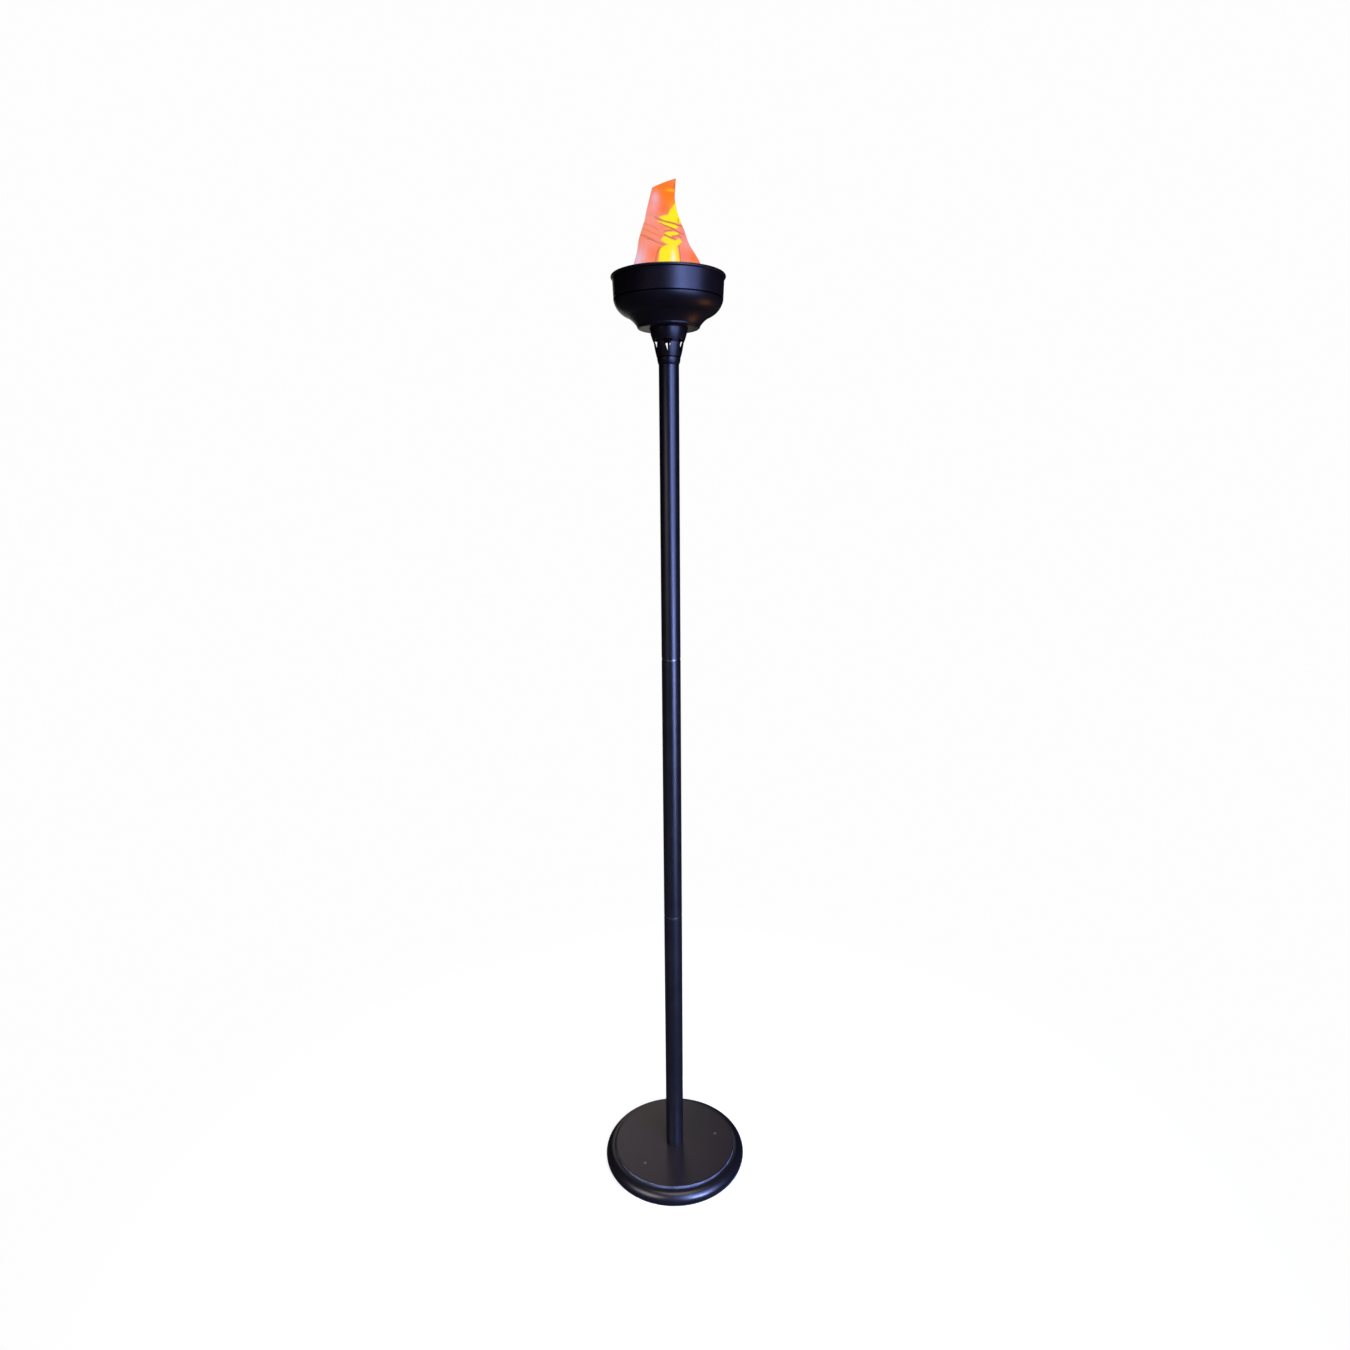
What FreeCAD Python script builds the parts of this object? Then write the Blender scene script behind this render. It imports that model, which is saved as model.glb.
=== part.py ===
"""Electric silk-flame floor torch: weighted round base, three screwed pole sections, a vented neck
and a bowl that holds a fan, eight lights and a blown silk flame. Millimetres, +Z up, floor at z = 0.
"""

import FreeCAD
import Part
import Sketcher

import math
import os
import re

from FreeCAD import Rotation, Vector

# Driving dimensions: alias, value, what it is. Every size below is worked out from these.
DIMENSIONS = [
    # base
    ("base_r", 125.0, "base cover, outer radius of the rolled edge"),
    ("base_h", 32.0, "floor to the flat top of the base"),
    ("plate_inset", 17.3, "rolled edge to the side of the raised flat top"),
    ("top_step", 4.0, "drop from the flat top to the crest of the rolled edge"),
    ("roll_share", 0.421875, "radius of the rolled edge's section as a share of the base's height"),
    ("roll_hem", 65.0, "angle below level at which the rolled edge ends"),
    ("top_edge_r", 1.4, "rounding of the flat top's edge"),
    ("skin", 1.2, "sheet thickness of the base cover"),
    ("foot_h", 2.4, "height of the rubber feet"),
    ("foot_r", 9.0, "radius of a rubber foot"),
    ("foot_inset", 29.0, "rolled edge to the middle of a foot"),
    ("floor_plate_h", 3.0, "thickness of the bottom plate"),
    ("floor_plate_gap", 0.9, "clearance between bottom plate and cover hem"),
    ("weight_inset", 3.3, "side of the flat top to the rim of the iron weight"),
    ("weight_gap", 1.3, "battery box to the iron weight"),
    ("stay_r", 1.6, "radius of the two flush rivets in the top"),
    ("stay_head_r", 2.6, "head radius of the rivets"),
    ("stay_head_h", 0.6, "height of the rivet heads"),
    ("stay_pcr", 76.0, "radius at which the rivets sit"),
    ("stay_a", -134.0, "direction of the first rivet"),
    ("stay_b", 12.0, "direction of the second rivet"),
    ("post_r", 6.0, "outer radius of the bottom plate's screw posts"),
    ("post_inset", 40.0, "rolled edge to the middle of a post"),
    ("post_seat", 5.0, "depth of the screw head's seat in a post"),
    ("base_screw_r", 2.0, "radius of the base screws"),
    ("base_screw_head_r", 3.6, "head radius of the base screws"),
    ("base_screw_head_h", 2.6, "head height of the base screws"),
    # battery bay in the base
    ("cell_r", 7.25, "radius of an AA cell"),
    ("cell_l", 49.5, "length of an AA cell without its button"),
    ("button_r", 2.75, "radius of a cell's button"),
    ("button_l", 1.0, "length of a cell's button"),
    ("cell_gap", 0.4, "gap between two cells"),
    ("bay_y", 23.0, "front inner face of the battery bay"),
    ("bay_wall", 1.4, "wall of the battery box"),
    ("spring_l", 4.4, "length of a compressed contact spring"),
    ("spring_r", 3.0, "radius of a contact spring's coil"),
    ("spring_wire_r", 0.35, "radius of the spring's wire"),
    ("contact_h", 0.5, "thickness of a flat contact"),
    ("door_gap", 0.3, "gap round the battery door"),
    ("door_edge_r", 1.5, "rounding of the door's hinged edge"),
    ("hinge_pin_r", 0.75, "radius of the door's hinge pin"),
    ("pin_gap", 0.06, "clearance of a pin in its bore"),
    # pole
    ("pole_r", 15.4, "outer radius of the pole tube"),
    ("pole_wall", 1.2, "wall of the pole tube"),
    ("section_len", 450.5, "length of one pole section, joint to joint"),
    ("joint_ring_h", 3.0, "height of the ring that shows at a joint"),
    ("joint_ring_inset", 0.35, "how far a joint ring stands inside the tube"),
    ("tube_edge", 0.5, "chamfer at the tube ends"),
    ("plug_l", 15.0, "length of a plug pressed into a tube"),
    ("plug_gap", 0.05, "clearance of a plug in a tube"),
    ("stud_r", 9.0, "radius of the threaded stud between sections"),
    ("stud_l", 17.0, "length of the threaded stud"),
    ("socket_l", 22.0, "length of the threaded socket in a tube"),
    ("thread_gap", 0.05, "clearance of a screwed joint"),
    ("lead_bore_r", 3.5, "bore for the lead through the pole fittings"),
    ("nipple_r", 5.0, "radius of the hollow nipples"),
    ("nipple_hold", 16.0, "length of nipple held in a plug"),
    ("nut_r", 8.1, "corner radius of the nipple nuts"),
    ("nut_h", 3.5, "height of the nipple nuts"),
    ("washer_r", 10.0, "radius of the nipple washers"),
    ("washer_h", 1.5, "thickness of the nipple washers"),
    ("lead_r", 1.6, "radius of the two-core lead"),
    # neck
    ("ferrule_h", 10.6, "height of the tapered ring under the neck"),
    ("ferrule_flare", 2.3, "how far the ferrule's top stands outside the pole"),
    ("ferrule_curve", 25.0, "radius of the ferrule's hollow curve"),
    ("neck_h", 40.2, "height of the vented neck"),
    ("neck_foot_flare", 2.9, "how far the neck's foot stands outside the pole"),
    ("neck_mid_flare", 7.0, "the same half way up"),
    ("neck_top_flare", 13.2, "the same under the bowl"),
    ("neck_curve", 150.0, "radius of the neck's hollow curve"),
    ("neck_wall", 2.0, "wall of the neck"),
    ("neck_floor_h", 3.0, "floor of the neck"),
    ("neck_lip_h", 3.5, "depth of the neck's inner lip"),
    ("vent_count", 6.0, "number of V-shaped vents"),
    ("vent_w", 13.0, "width of a vent at its top"),
    ("vent_h_share", 0.444, "height of a vent as a share of the neck's height"),
    ("vent_z_share", 0.168, "height of a vent's point above the neck's foot, as such a share"),
    ("vent_turn", -4.0, "turn of the vents from the front"),
    ("bowl_screw_inset", 6.0, "neck's top edge to the screws that hold neck and bowl"),
    # bowl
    ("bowl_h", 74.0, "height from the bowl's underside to its rim"),
    ("seam_share", 0.466, "rim to the seam between band and bowl, as a share of the bowl's height"),
    ("seam_r", 81.5, "bowl radius at the seam"),
    ("seam_gap", 1.0, "height of the groove at the seam"),
    ("seam_depth", 1.2, "depth of the groove at the seam"),
    ("belly_share", 0.758, "rim to the end of the belly, as such a share"),
    ("belly_end_share", 0.7656, "radius at the end of the belly as a share of the seam's radius"),
    ("belly_curve", 29.0, "radius of the belly's section"),
    ("cove_end_share", 0.5816, "radius at the end of the cove, as such a share"),
    ("cove_curve", 46.0, "radius of the cove's section"),
    ("sole_r", 3.8, "rounding under the bowl"),
    ("bowl_wall", 2.0, "wall of the bowl"),
    ("intake_inset", 5.0, "neck and bowl screws to the edge of the air intake"),
    ("band_flare", 1.3, "how much wider the band is under its lip than at the seam"),
    ("lip_r", 2.4, "radius of the bead along the rim"),
    ("band_wall", 2.2, "wall of the band"),
    ("spigot_l", 6.0, "length of the spigot that goes into the bowl"),
    ("spigot_gap", 0.1, "clearance of the spigot"),
    ("spigot_taper", 2.3, "how much the spigot narrows to follow the belly"),
    ("spigot_wall", 1.6, "wall of the spigot"),
    ("ledge_w", 7.6, "width of the ring under the deck"),
    ("ledge_h", 3.0, "thickness of the ring under the deck"),
    # deck and what it carries
    ("deck_share", 0.2162, "rim to the top of the deck as a share of the bowl's height"),
    ("deck_h", 2.0, "thickness of the deck"),
    ("deck_gap", 0.4, "gap between deck and band"),
    ("small_screw_r", 1.25, "radius of the small screws"),
    ("small_head_r", 2.6, "head radius of the small screws"),
    ("small_head_h", 1.8, "head height of the small screws"),
    ("screw_gap", 0.05, "clearance of a screw in its hole"),
    ("deck_screw_inset", 3.9, "band's inside to the deck screws"),
    ("hoop_reach", 7.0, "ring of lights to the outside of the hoop inside the silk"),
    ("hoop_wall", 1.6, "wall of the silk's two hoops"),
    ("hoop_h", 7.0, "height of the hoops"),
    ("silk_h", 0.8, "thickness given to the silk"),
    ("silk_gap", 0.1, "clearance between silk and hoops"),
    ("led_r", 2.5, "radius of a light"),
    ("led_flange_r", 2.9, "radius of a light's flange"),
    ("led_l", 8.6, "length of a light"),
    ("led_reach", 4.0, "side of the fan's frame to the ring on which the lights stand"),
    ("led_gap", 0.2, "clearance of a light in the deck"),
    ("board_h", 1.6, "thickness of the circuit boards"),
    ("led_board_w", 3.3, "half width of the lights' ring board"),
    # fan
    ("fan_half", 40.0, "half width of the fan's frame"),
    ("fan_h", 15.0, "depth of the fan's frame"),
    ("fan_rim", 2.0, "frame between the fan's duct and the middle of a side"),
    ("fan_corner_r", 4.0, "rounding of the fan's corners"),
    ("fan_hole_inset", 4.25, "side of the fan's frame to its screw holes"),
    ("fan_drop", 5.0, "deck underside to the fan's frame"),
    ("fan_boss_r", 3.0, "radius of the deck's fan bosses"),
    ("strut_w", 4.0, "width of the fan's struts"),
    ("strut_h", 1.6, "depth of the fan's struts"),
    ("hub_plate_r", 15.0, "radius of the plate that carries the motor"),
    ("bearing_tube_r", 4.4, "outer radius of the bearing tube"),
    ("bearing_r", 3.05, "outer radius of the sleeve bearing"),
    ("bearing_l", 9.4, "length of the sleeve bearing"),
    ("shaft_r", 1.5, "radius of the fan's shaft"),
    ("stator_r", 12.0, "outer radius of the stator"),
    ("stator_h", 7.0, "height of the stator"),
    ("rotor_r", 17.5, "outer radius of the rotor's hub"),
    ("rotor_wall", 1.5, "wall of the rotor's hub"),
    ("rotor_lift", 0.8, "fan underside to the rotor"),
    ("rotor_h", 11.0, "height of the rotor's hub"),
    ("magnet_h", 2.4, "radial thickness of the ring magnet"),
    ("blade_count", 7.0, "number of fan blades"),
    ("blade_gap", 1.6, "blade tips to the duct"),
    ("blade_t", 1.3, "thickness of a blade"),
    ("root_chord", 12.0, "blade width at the hub"),
    ("root_pitch", 44.0, "blade angle at the hub"),
    ("tip_chord", 20.0, "blade width at the tip"),
    ("tip_pitch", 27.0, "blade angle at the tip"),
    ("guard_wire_r", 0.9, "wire radius of the fan guard"),
    ("guard_rings", 4.0, "number of the guard's rings"),
    # switch on the deck behind the flame
    ("switch_inset", 5.2, "ring under the deck to the middle of the switch"),
    ("switch_l", 15.0, "length of the switch's flange"),
    ("switch_w", 10.0, "width of the switch's flange"),
    ("switch_flange_h", 1.4, "thickness of the switch's flange"),
    ("switch_step", 0.9, "how far the flange overlaps the deck"),
    ("switch_depth", 12.0, "depth of the switch body under the deck"),
    ("switch_side", 0.9, "wall beside the rocker"),
    ("rocker_gap", 0.35, "gap round the rocker"),
    ("rocker_tilt", 9.0, "tilt of the rocker either side of level"),
    ("rocker_pin_r", 0.8, "radius of the rocker's pin"),
    # control board
    ("control_gap", 2.0, "side of the fan's frame to the control board"),
    ("control_l", 24.0, "length of the control board"),
    ("control_w", 28.0, "width of the control board"),
    ("control_drop", 8.0, "deck underside to the control board"),
    # silk flame, outline from the hoops to the slanting top
    ("flame_low_z", 13.7, "height above the rim of the first station"),
    ("flame_low_x", -0.8, "its middle"),
    ("flame_low_w", 48.8, "its half width"),
    ("flame_low_d", 41.5, "its half depth"),
    ("flame_mid_z", 48.6, "height above the rim of the second station"),
    ("flame_mid_x", -6.9, "its middle"),
    ("flame_mid_w", 35.3, "its half width"),
    ("flame_mid_d", 26.0, "its half depth"),
    ("flame_high_z", 86.9, "height above the rim of the third station"),
    ("flame_high_x", -8.7, "its middle"),
    ("flame_high_w", 22.8, "its half width"),
    ("flame_high_d", 14.5, "its half depth"),
    ("flame_top_z", 124.5, "height above the rim of the slanting top's middle"),
    ("flame_top_x", -5.1, "its middle"),
    ("flame_top_w", 18.0, "its half length along the slant"),
    ("flame_top_d", 4.2, "its half depth"),
    ("flame_slant", 19.5, "slant of the top"),
]

# Levels and radii that several pieces share, as formulas of the driving dimensions.
FORMULAS = {
    "roll_r": "roll_share*base_h",
    "top_plate_r": "base_r - plate_inset",
    "weight_r": "top_plate_r - weight_inset",
    "foot_pcr": "base_r - foot_inset",
    "post_pcr": "base_r - post_inset",
    "roll_cr": "base_r - roll_r",
    "roll_cz": "base_h - top_step - roll_r",
    "roll_in_z": "roll_cz + sqrt(roll_r^2 - (roll_cr - top_plate_r)^2)",
    "roll_under_z": "roll_cz + sqrt((roll_r - skin)^2 - (roll_cr - top_plate_r + skin)^2)",
    "floor_top": "foot_h + floor_plate_h",
    "floor_plate_r": "roll_cr + (roll_r - skin)*cos(roll_hem) - floor_plate_gap",
    "weight_top": "base_h - skin",
    "weight_foot": "box_top + bay_wall + weight_gap",
    "weight_h": "weight_top - weight_foot",
    "cell_pitch": "2*cell_r + cell_gap",
    "door_z": "foot_h + floor_plate_h/2",
    "cell_z": "floor_top + door_gap + cell_r",
    "bay_l": "cell_l + button_l + spring_l + 2*contact_h",
    "bay_half": "2*cell_pitch + door_gap",
    "bay_end": "bay_y + bay_l",
    "hinge_y": "bay_end - door_edge_r - door_gap",
    "box_top": "cell_z + cell_r + door_gap",
    "tube_in_r": "pole_r - pole_wall",
    "plug_r": "tube_in_r - plug_gap",
    "joint_a": "base_h + section_len",
    "joint_b": "base_h + 2*section_len",
    "tube_top": "base_h + 3*section_len",
    "neck_z": "tube_top + ferrule_h",
    "ferrule_top_r": "pole_r + ferrule_flare",
    "neck_foot_r": "pole_r + neck_foot_flare",
    "neck_mid_r": "pole_r + neck_mid_flare",
    "neck_top_r": "pole_r + neck_top_flare",
    "vent_h": "vent_h_share*neck_h",
    "vent_z": "vent_z_share*neck_h",
    "bowl_screw_pcr": "neck_top_r - bowl_screw_inset",
    "intake_r": "bowl_screw_pcr - intake_inset",
    "bowl_z": "neck_z + neck_h",
    "rim_z": "bowl_z + bowl_h",
    "seam_drop": "seam_share*bowl_h",
    "belly_drop": "belly_share*bowl_h",
    "belly_end_r": "belly_end_share*seam_r",
    "cove_drop": "bowl_h - sole_r",
    "cove_end_r": "cove_end_share*seam_r",
    "seam_z": "rim_z - seam_drop",
    "band_top_r": "seam_r + band_flare",
    "band_in_r": "band_top_r - band_wall",
    "ledge_in_r": "band_in_r - ledge_w",
    "deck_drop": "deck_share*bowl_h",
    "deck_z": "rim_z - deck_drop",
    "deck_under": "deck_z - deck_h",
    "deck_r": "band_in_r - deck_gap",
    "deck_screw_pcr": "band_in_r - deck_screw_inset",
    "switch_y": "ledge_in_r - switch_inset",
    "fan_duct_r": "fan_half - fan_rim",
    "fan_hole": "fan_half - fan_hole_inset",
    "blade_tip_r": "fan_duct_r - blade_gap",
    "guard_pitch": "fan_duct_r/guard_rings",
    "led_pcr": "fan_half + led_reach",
    "hoop_r": "led_pcr + hoop_reach",
    "control_x": "-(fan_half + control_gap + control_l/2)",
    "fan_top": "deck_under - fan_drop",
    "fan_foot": "fan_top - fan_h",
    "rotor_foot": "fan_foot + rotor_lift",
    "led_z": "fan_top + board_h",
    "silk_in_r": "hoop_r + silk_gap",
    "silk_out_r": "silk_in_r + silk_h",
    "pivot_z": "deck_z - 0.4",
    "guard_reach": "led_pcr - led_r - led_gap - 1",
}

ALIASES = {alias for alias, _, _ in DIMENSIONS}
WORD = re.compile(r"[a-z_]+(?![a-z_(])")

doc = FreeCAD.newDocument("FlameTorch")
sheet = doc.addObject("Spreadsheet::Sheet", "Dims")
nodes = []


# ---------------------------------------------------------------- shared tools


def fill_sheet():
    """Write every driving dimension into the sheet, one row each."""
    for row, (alias, value, note) in enumerate(DIMENSIONS, start=1):
        sheet.set(f"A{row}", note)
        sheet.set(f"B{row}", str(value))
        sheet.setAlias(f"B{row}", alias)
    doc.recompute()


def bound(text):
    """A formula in plain words, with each word replaced by its cell or its own formula."""

    def cell(match):
        word = match.group(0)
        if word in FORMULAS:
            return "(" + bound(FORMULAS[word]) + ")"
        return "Dims." + word if word in ALIASES else word

    return WORD.sub(cell, str(text))


def number(text):
    """The formula's value now."""
    return float(sheet.evalExpression(bound(text)))


def bind(thing, prop, text):
    """Tie a property to the sheet."""
    thing.setExpression(prop, bound(text))


def kept(thing, label):
    """Name a finished sub-part and list it for export."""
    thing.Label = label
    nodes.append(thing)
    return thing


def new_body(label, x="0", y="0", z="0"):
    body = doc.addObject("PartDesign::Body", label + "_body")
    body.AllowCompound = True
    for axis, text in (("x", x), ("y", y), ("z", z)):
        if text != "0":
            bind(body, "Placement.Base." + axis, text)
    return kept(body, label)


def origin_part(body, role):
    return next(o for o in body.Origin.OriginFeatures if o.Role == role)


def new_sketch(body, plane, lift="0", turn="0"):
    """A sketch on one of the body's own planes, lifted along the plane's normal."""
    sketch = body.newObject("Sketcher::SketchObject", "Sketch")
    sketch.AttachmentSupport = (origin_part(body, plane), [""])
    sketch.MapMode = "FlatFace"
    if lift != "0":
        bind(sketch, "AttachmentOffset.Base.z", lift)
    if turn != "0":
        bind(sketch, "AttachmentOffset.Rotation.Angle", turn)
    return sketch


def drive(sketch, kind, geo, pos, text):
    """Hold one coordinate of a sketch point at a formula of the sheet."""
    value = number(text)
    if abs(value) < 1e-9 and bound(text) == "0":
        axis = -2 if kind == "DistanceX" else -1
        sketch.addConstraint(Sketcher.Constraint("PointOnObject", geo, pos, axis))
        return
    index = sketch.addConstraint(Sketcher.Constraint(kind, -1, 1, geo, pos, value))
    sketch.setExpression(f"Constraints[{index}]", bound(text))


def arc_between(start, end, radius, turn):
    """A minor arc from start to end; turn is 1 for counter-clockwise and -1 for clockwise."""
    chord = end - start
    rise = math.sqrt(max(radius**2 - (chord.Length / 2) ** 2, 0.0))
    normal = Vector(-chord.y, chord.x, 0).normalize()
    centre = (start + end) * 0.5 + normal * rise * turn
    first, last = (start, end) if turn > 0 else (end, start)
    angles = [math.atan2(p.y - centre.y, p.x - centre.x) for p in (first, last)]
    return Part.ArcOfCircle(Part.Circle(centre, Vector(0, 0, 1), radius), *angles)


def outline(sketch, steps):
    """A closed outline. A step is (x, y), or (x, y, radius, turn) where an arc leads to that point."""
    points = [Vector(number(s[0]), number(s[1]), 0) for s in steps]
    base = sketch.GeometryCount
    ends = []
    for i, point in enumerate(points):
        after = steps[(i + 1) % len(steps)]
        target = points[(i + 1) % len(points)]
        if len(after) == 2:
            sketch.addGeometry(Part.LineSegment(point, target), False)
            ends.append((1, 2))
        else:
            sketch.addGeometry(arc_between(point, target, number(after[2]), after[3]), False)
            ends.append((1, 2) if after[3] > 0 else (2, 1))
            index = sketch.addConstraint(Sketcher.Constraint("Radius", base + i, number(after[2])))
            sketch.setExpression(f"Constraints[{index}]", bound(after[2]))
    for i in range(len(steps)):
        j = (i + 1) % len(steps)
        joint = Sketcher.Constraint("Coincident", base + i, ends[i][1], base + j, ends[j][0])
        sketch.addConstraint(joint)
        drive(sketch, "DistanceX", base + i, ends[i][0], steps[i][0])
        drive(sketch, "DistanceY", base + i, ends[i][0], steps[i][1])


def box_outline(x0, y0, x1, y1):
    return [(x0, y0), (x1, y0), (x1, y1), (x0, y1)]


def circle(sketch, x, y, radius):
    centre = Vector(number(x), number(y), 0)
    geo = sketch.addGeometry(Part.Circle(centre, Vector(0, 0, 1), number(radius)), False)
    drive(sketch, "DistanceX", geo, 3, x)
    drive(sketch, "DistanceY", geo, 3, y)
    index = sketch.addConstraint(Sketcher.Constraint("Radius", geo, number(radius)))
    sketch.setExpression(f"Constraints[{index}]", bound(radius))


def feature(body, kind, sketch, **settings):
    made = body.newObject("PartDesign::" + kind, kind)
    made.Profile = (sketch, [""])
    for name, value in settings.items():
        setattr(made, name, value)
    return made


def revolved(body, steps, plane="XZ_Plane", kind="Revolution"):
    """Turn an outline, given as (radius, height), about the sketch's upright axis."""
    sketch = new_sketch(body, plane)
    outline(sketch, steps)
    return feature(body, kind, sketch, ReferenceAxis=(sketch, ["V_Axis"]), Angle=360)


def padded(body, draw, height, lift="0", plane="XY_Plane", midplane=False, turn="0"):
    """Pad what draw(sketch) draws."""
    sketch = new_sketch(body, plane, lift, turn)
    draw(sketch)
    made = feature(body, "Pad", sketch, Midplane=midplane)
    bind(made, "Length", height)
    return made


def pocketed(body, draw, depth, lift="0", plane="XY_Plane", flip=False, midplane=False):
    """Cut what draw(sketch) draws, downwards from the sketch, or upwards when flipped."""
    sketch = new_sketch(body, plane, lift)
    draw(sketch)
    made = feature(body, "Pocket", sketch, Reversed=flip, Midplane=midplane)
    bind(made, "Length", depth)
    return made


def around(body, features, count):
    """Repeat features evenly about the body's upright axis."""
    pattern = body.newObject("PartDesign::PolarPattern", "PolarPattern")
    pattern.Originals = features
    pattern.Axis = (origin_part(body, "Z_Axis"), [""])
    pattern.Angle = 360
    bind(pattern, "Occurrences", count)
    body.Tip = pattern
    return pattern


def along(body, features, role, length, count):
    """Repeat features in a row along one of the body's axes."""
    pattern = body.newObject("PartDesign::LinearPattern", "LinearPattern")
    pattern.Originals = features
    pattern.Direction = (origin_part(body, role), [""])
    bind(pattern, "Length", length)
    pattern.Occurrences = count
    body.Tip = pattern
    return pattern


def ring(label, outer, inner, low, high):
    """A plain ring or tube on the torch's axis."""
    body = new_body(label)
    revolved(body, box_outline(inner, low, outer, high))
    return body


def tilted(body, axis, angle):
    """Turn a body about its own origin by an angle from the sheet."""
    body.Placement.Rotation = Rotation(axis, number(angle))
    bind(body, "Placement.Rotation.Angle", angle)


def smooth_route(points):
    """A path of straight runs joined by tangent arcs, each as large as its two runs allow."""
    arc_share = 0.45
    edges = []
    here = points[0]
    for before, corner, after in zip(points, points[1:], points[2:]):
        back, ahead = before - corner, after - corner
        cut = arc_share * min(back.Length, ahead.Length)
        back.normalize()
        ahead.normalize()
        start, end = corner + back * cut, corner + ahead * cut
        half_turn = (math.pi - back.getAngle(ahead)) / 2
        radius = cut / math.tan(half_turn)
        inward = (back + ahead).normalize()
        centre = corner + inward * (radius / math.cos(half_turn))
        middle = centre - inward * radius
        edges.append(Part.LineSegment(here, start).toShape())
        edges.append(Part.Arc(start, middle, end).toShape())
        here = end
    edges.append(Part.LineSegment(here, points[-1]).toShape())
    return Part.Wire(edges)


def tube_along(label, points, radius):
    """A round flexible lead along a route of hand-chosen points."""
    path = smooth_route([Vector(*[number(c) for c in p]) for p in points])
    first = path.Edges[0]
    direction = first.tangentAt(first.FirstParameter)
    profile = Part.Wire(Part.makeCircle(number(radius), path.Vertexes[0].Point, direction))
    lead = doc.addObject("Part::Feature", label + "_shape")
    lead.Shape = path.makePipeShell([profile], True, False)
    return kept(lead, label)


# ---------------------------------------------------------------- base


def base_cover():
    """Spun steel shell: flat top, small step, and an edge rolled over to the floor."""
    hem_r = "roll_cr + {}*cos(roll_hem)"
    hem_z = "roll_cz - {}*sin(roll_hem)"
    inner = "(roll_r - skin)"
    body = new_body("base_cover")
    revolved(body, [
        ("nipple_r + thread_gap", "base_h"),
        ("top_plate_r - top_edge_r", "base_h"),
        ("top_plate_r", "base_h - top_edge_r", "top_edge_r", -1),
        ("top_plate_r", "roll_in_z"),
        ("base_r", "roll_cz", "roll_r", -1),
        (hem_r.format("roll_r"), hem_z.format("roll_r"), "roll_r", -1),
        (hem_r.format(inner), hem_z.format(inner)),
        ("base_r - skin", "roll_cz", "roll_r - skin", 1),
        ("top_plate_r - skin", "roll_under_z", "roll_r - skin", 1),
        ("top_plate_r - skin", "weight_top"),
        ("nipple_r + thread_gap", "weight_top"),
    ])
    cut_rivet_holes(body, "base_h", "skin")


def cut_rivet_holes(body, top, depth):
    def holes(sketch):
        for angle in ("stay_a", "stay_b"):
            circle(sketch, f"stay_pcr*cos({angle})", f"stay_pcr*sin({angle})", "stay_r + screw_gap")

    pocketed(body, holes, depth, lift=top)


def base_weight():
    """Iron disc under the flat top, which keeps the tall torch upright."""
    body = new_body("base_weight")
    revolved(body, box_outline("nipple_r + thread_gap", "weight_foot", "weight_r", "weight_top"))
    cut_rivet_holes(body, "weight_top", "weight_h")
    hole = pocketed(body, lambda s: circle(s, "0", "-post_pcr", "base_screw_r + screw_gap"),
                    "weight_h", lift="weight_top")
    around(body, [hole], "3")


def cover_rivets():
    """Two rivets that hold the weight to the cover, with low round heads."""
    body = new_body("cover_rivets", z="base_h")
    for angle in ("stay_a", "stay_b"):
        x, y = f"stay_pcr*cos({angle})", f"stay_pcr*sin({angle})"
        padded(body, lambda s: circle(s, x, y, "stay_r"), "skin + weight_h", lift="-skin - weight_h")
        padded(body, lambda s: circle(s, x, y, "stay_head_r"), "stay_head_h")


def bottom_plate():
    """Moulded plate that closes the base, with three screw posts and the battery opening."""
    body = new_body("bottom_plate")
    revolved(body, box_outline("nut_r + 2*door_gap", "foot_h", "floor_plate_r", "floor_top"))
    post = padded(body, lambda s: circle(s, "0", "-post_pcr", "post_r"),
                  "weight_foot - floor_top", lift="floor_top")
    seat = pocketed(body, lambda s: circle(s, "0", "-post_pcr", "base_screw_head_r + screw_gap"),
                    "post_seat", lift="foot_h", flip=True)
    bore = pocketed(body, lambda s: circle(s, "0", "-post_pcr", "base_screw_r + screw_gap"),
                    "weight_foot - foot_h", lift="weight_foot")
    around(body, [post, seat, bore], "3")
    opening = box_outline("-bay_half", "bay_y", "bay_half", "bay_end")
    pocketed(body, lambda s: outline(s, opening), "floor_plate_h", lift="floor_top")
    pocketed(body, lambda s: circle(s, "hinge_y", "door_z", "hinge_pin_r"),
             "2*bay_half + 4*bay_wall", plane="YZ_Plane", midplane=True)


def battery_box():
    """Open-bottomed box over the four cells."""
    body = new_body("battery_box")
    outer = box_outline("-bay_half - bay_wall", "bay_y - bay_wall",
                        "bay_half + bay_wall", "bay_end + bay_wall")
    padded(body, lambda s: outline(s, outer), "box_top + bay_wall - floor_top", lift="floor_top")
    inner = box_outline("-bay_half", "bay_y", "bay_half", "bay_end")
    pocketed(body, lambda s: outline(s, inner), "box_top - floor_top", lift="floor_top", flip=True)
    pocketed(body, lambda s: circle(s, "0", "cell_z", "lead_r + screw_gap"), "bay_y + bay_wall",
             plane="XZ_Plane")


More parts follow.
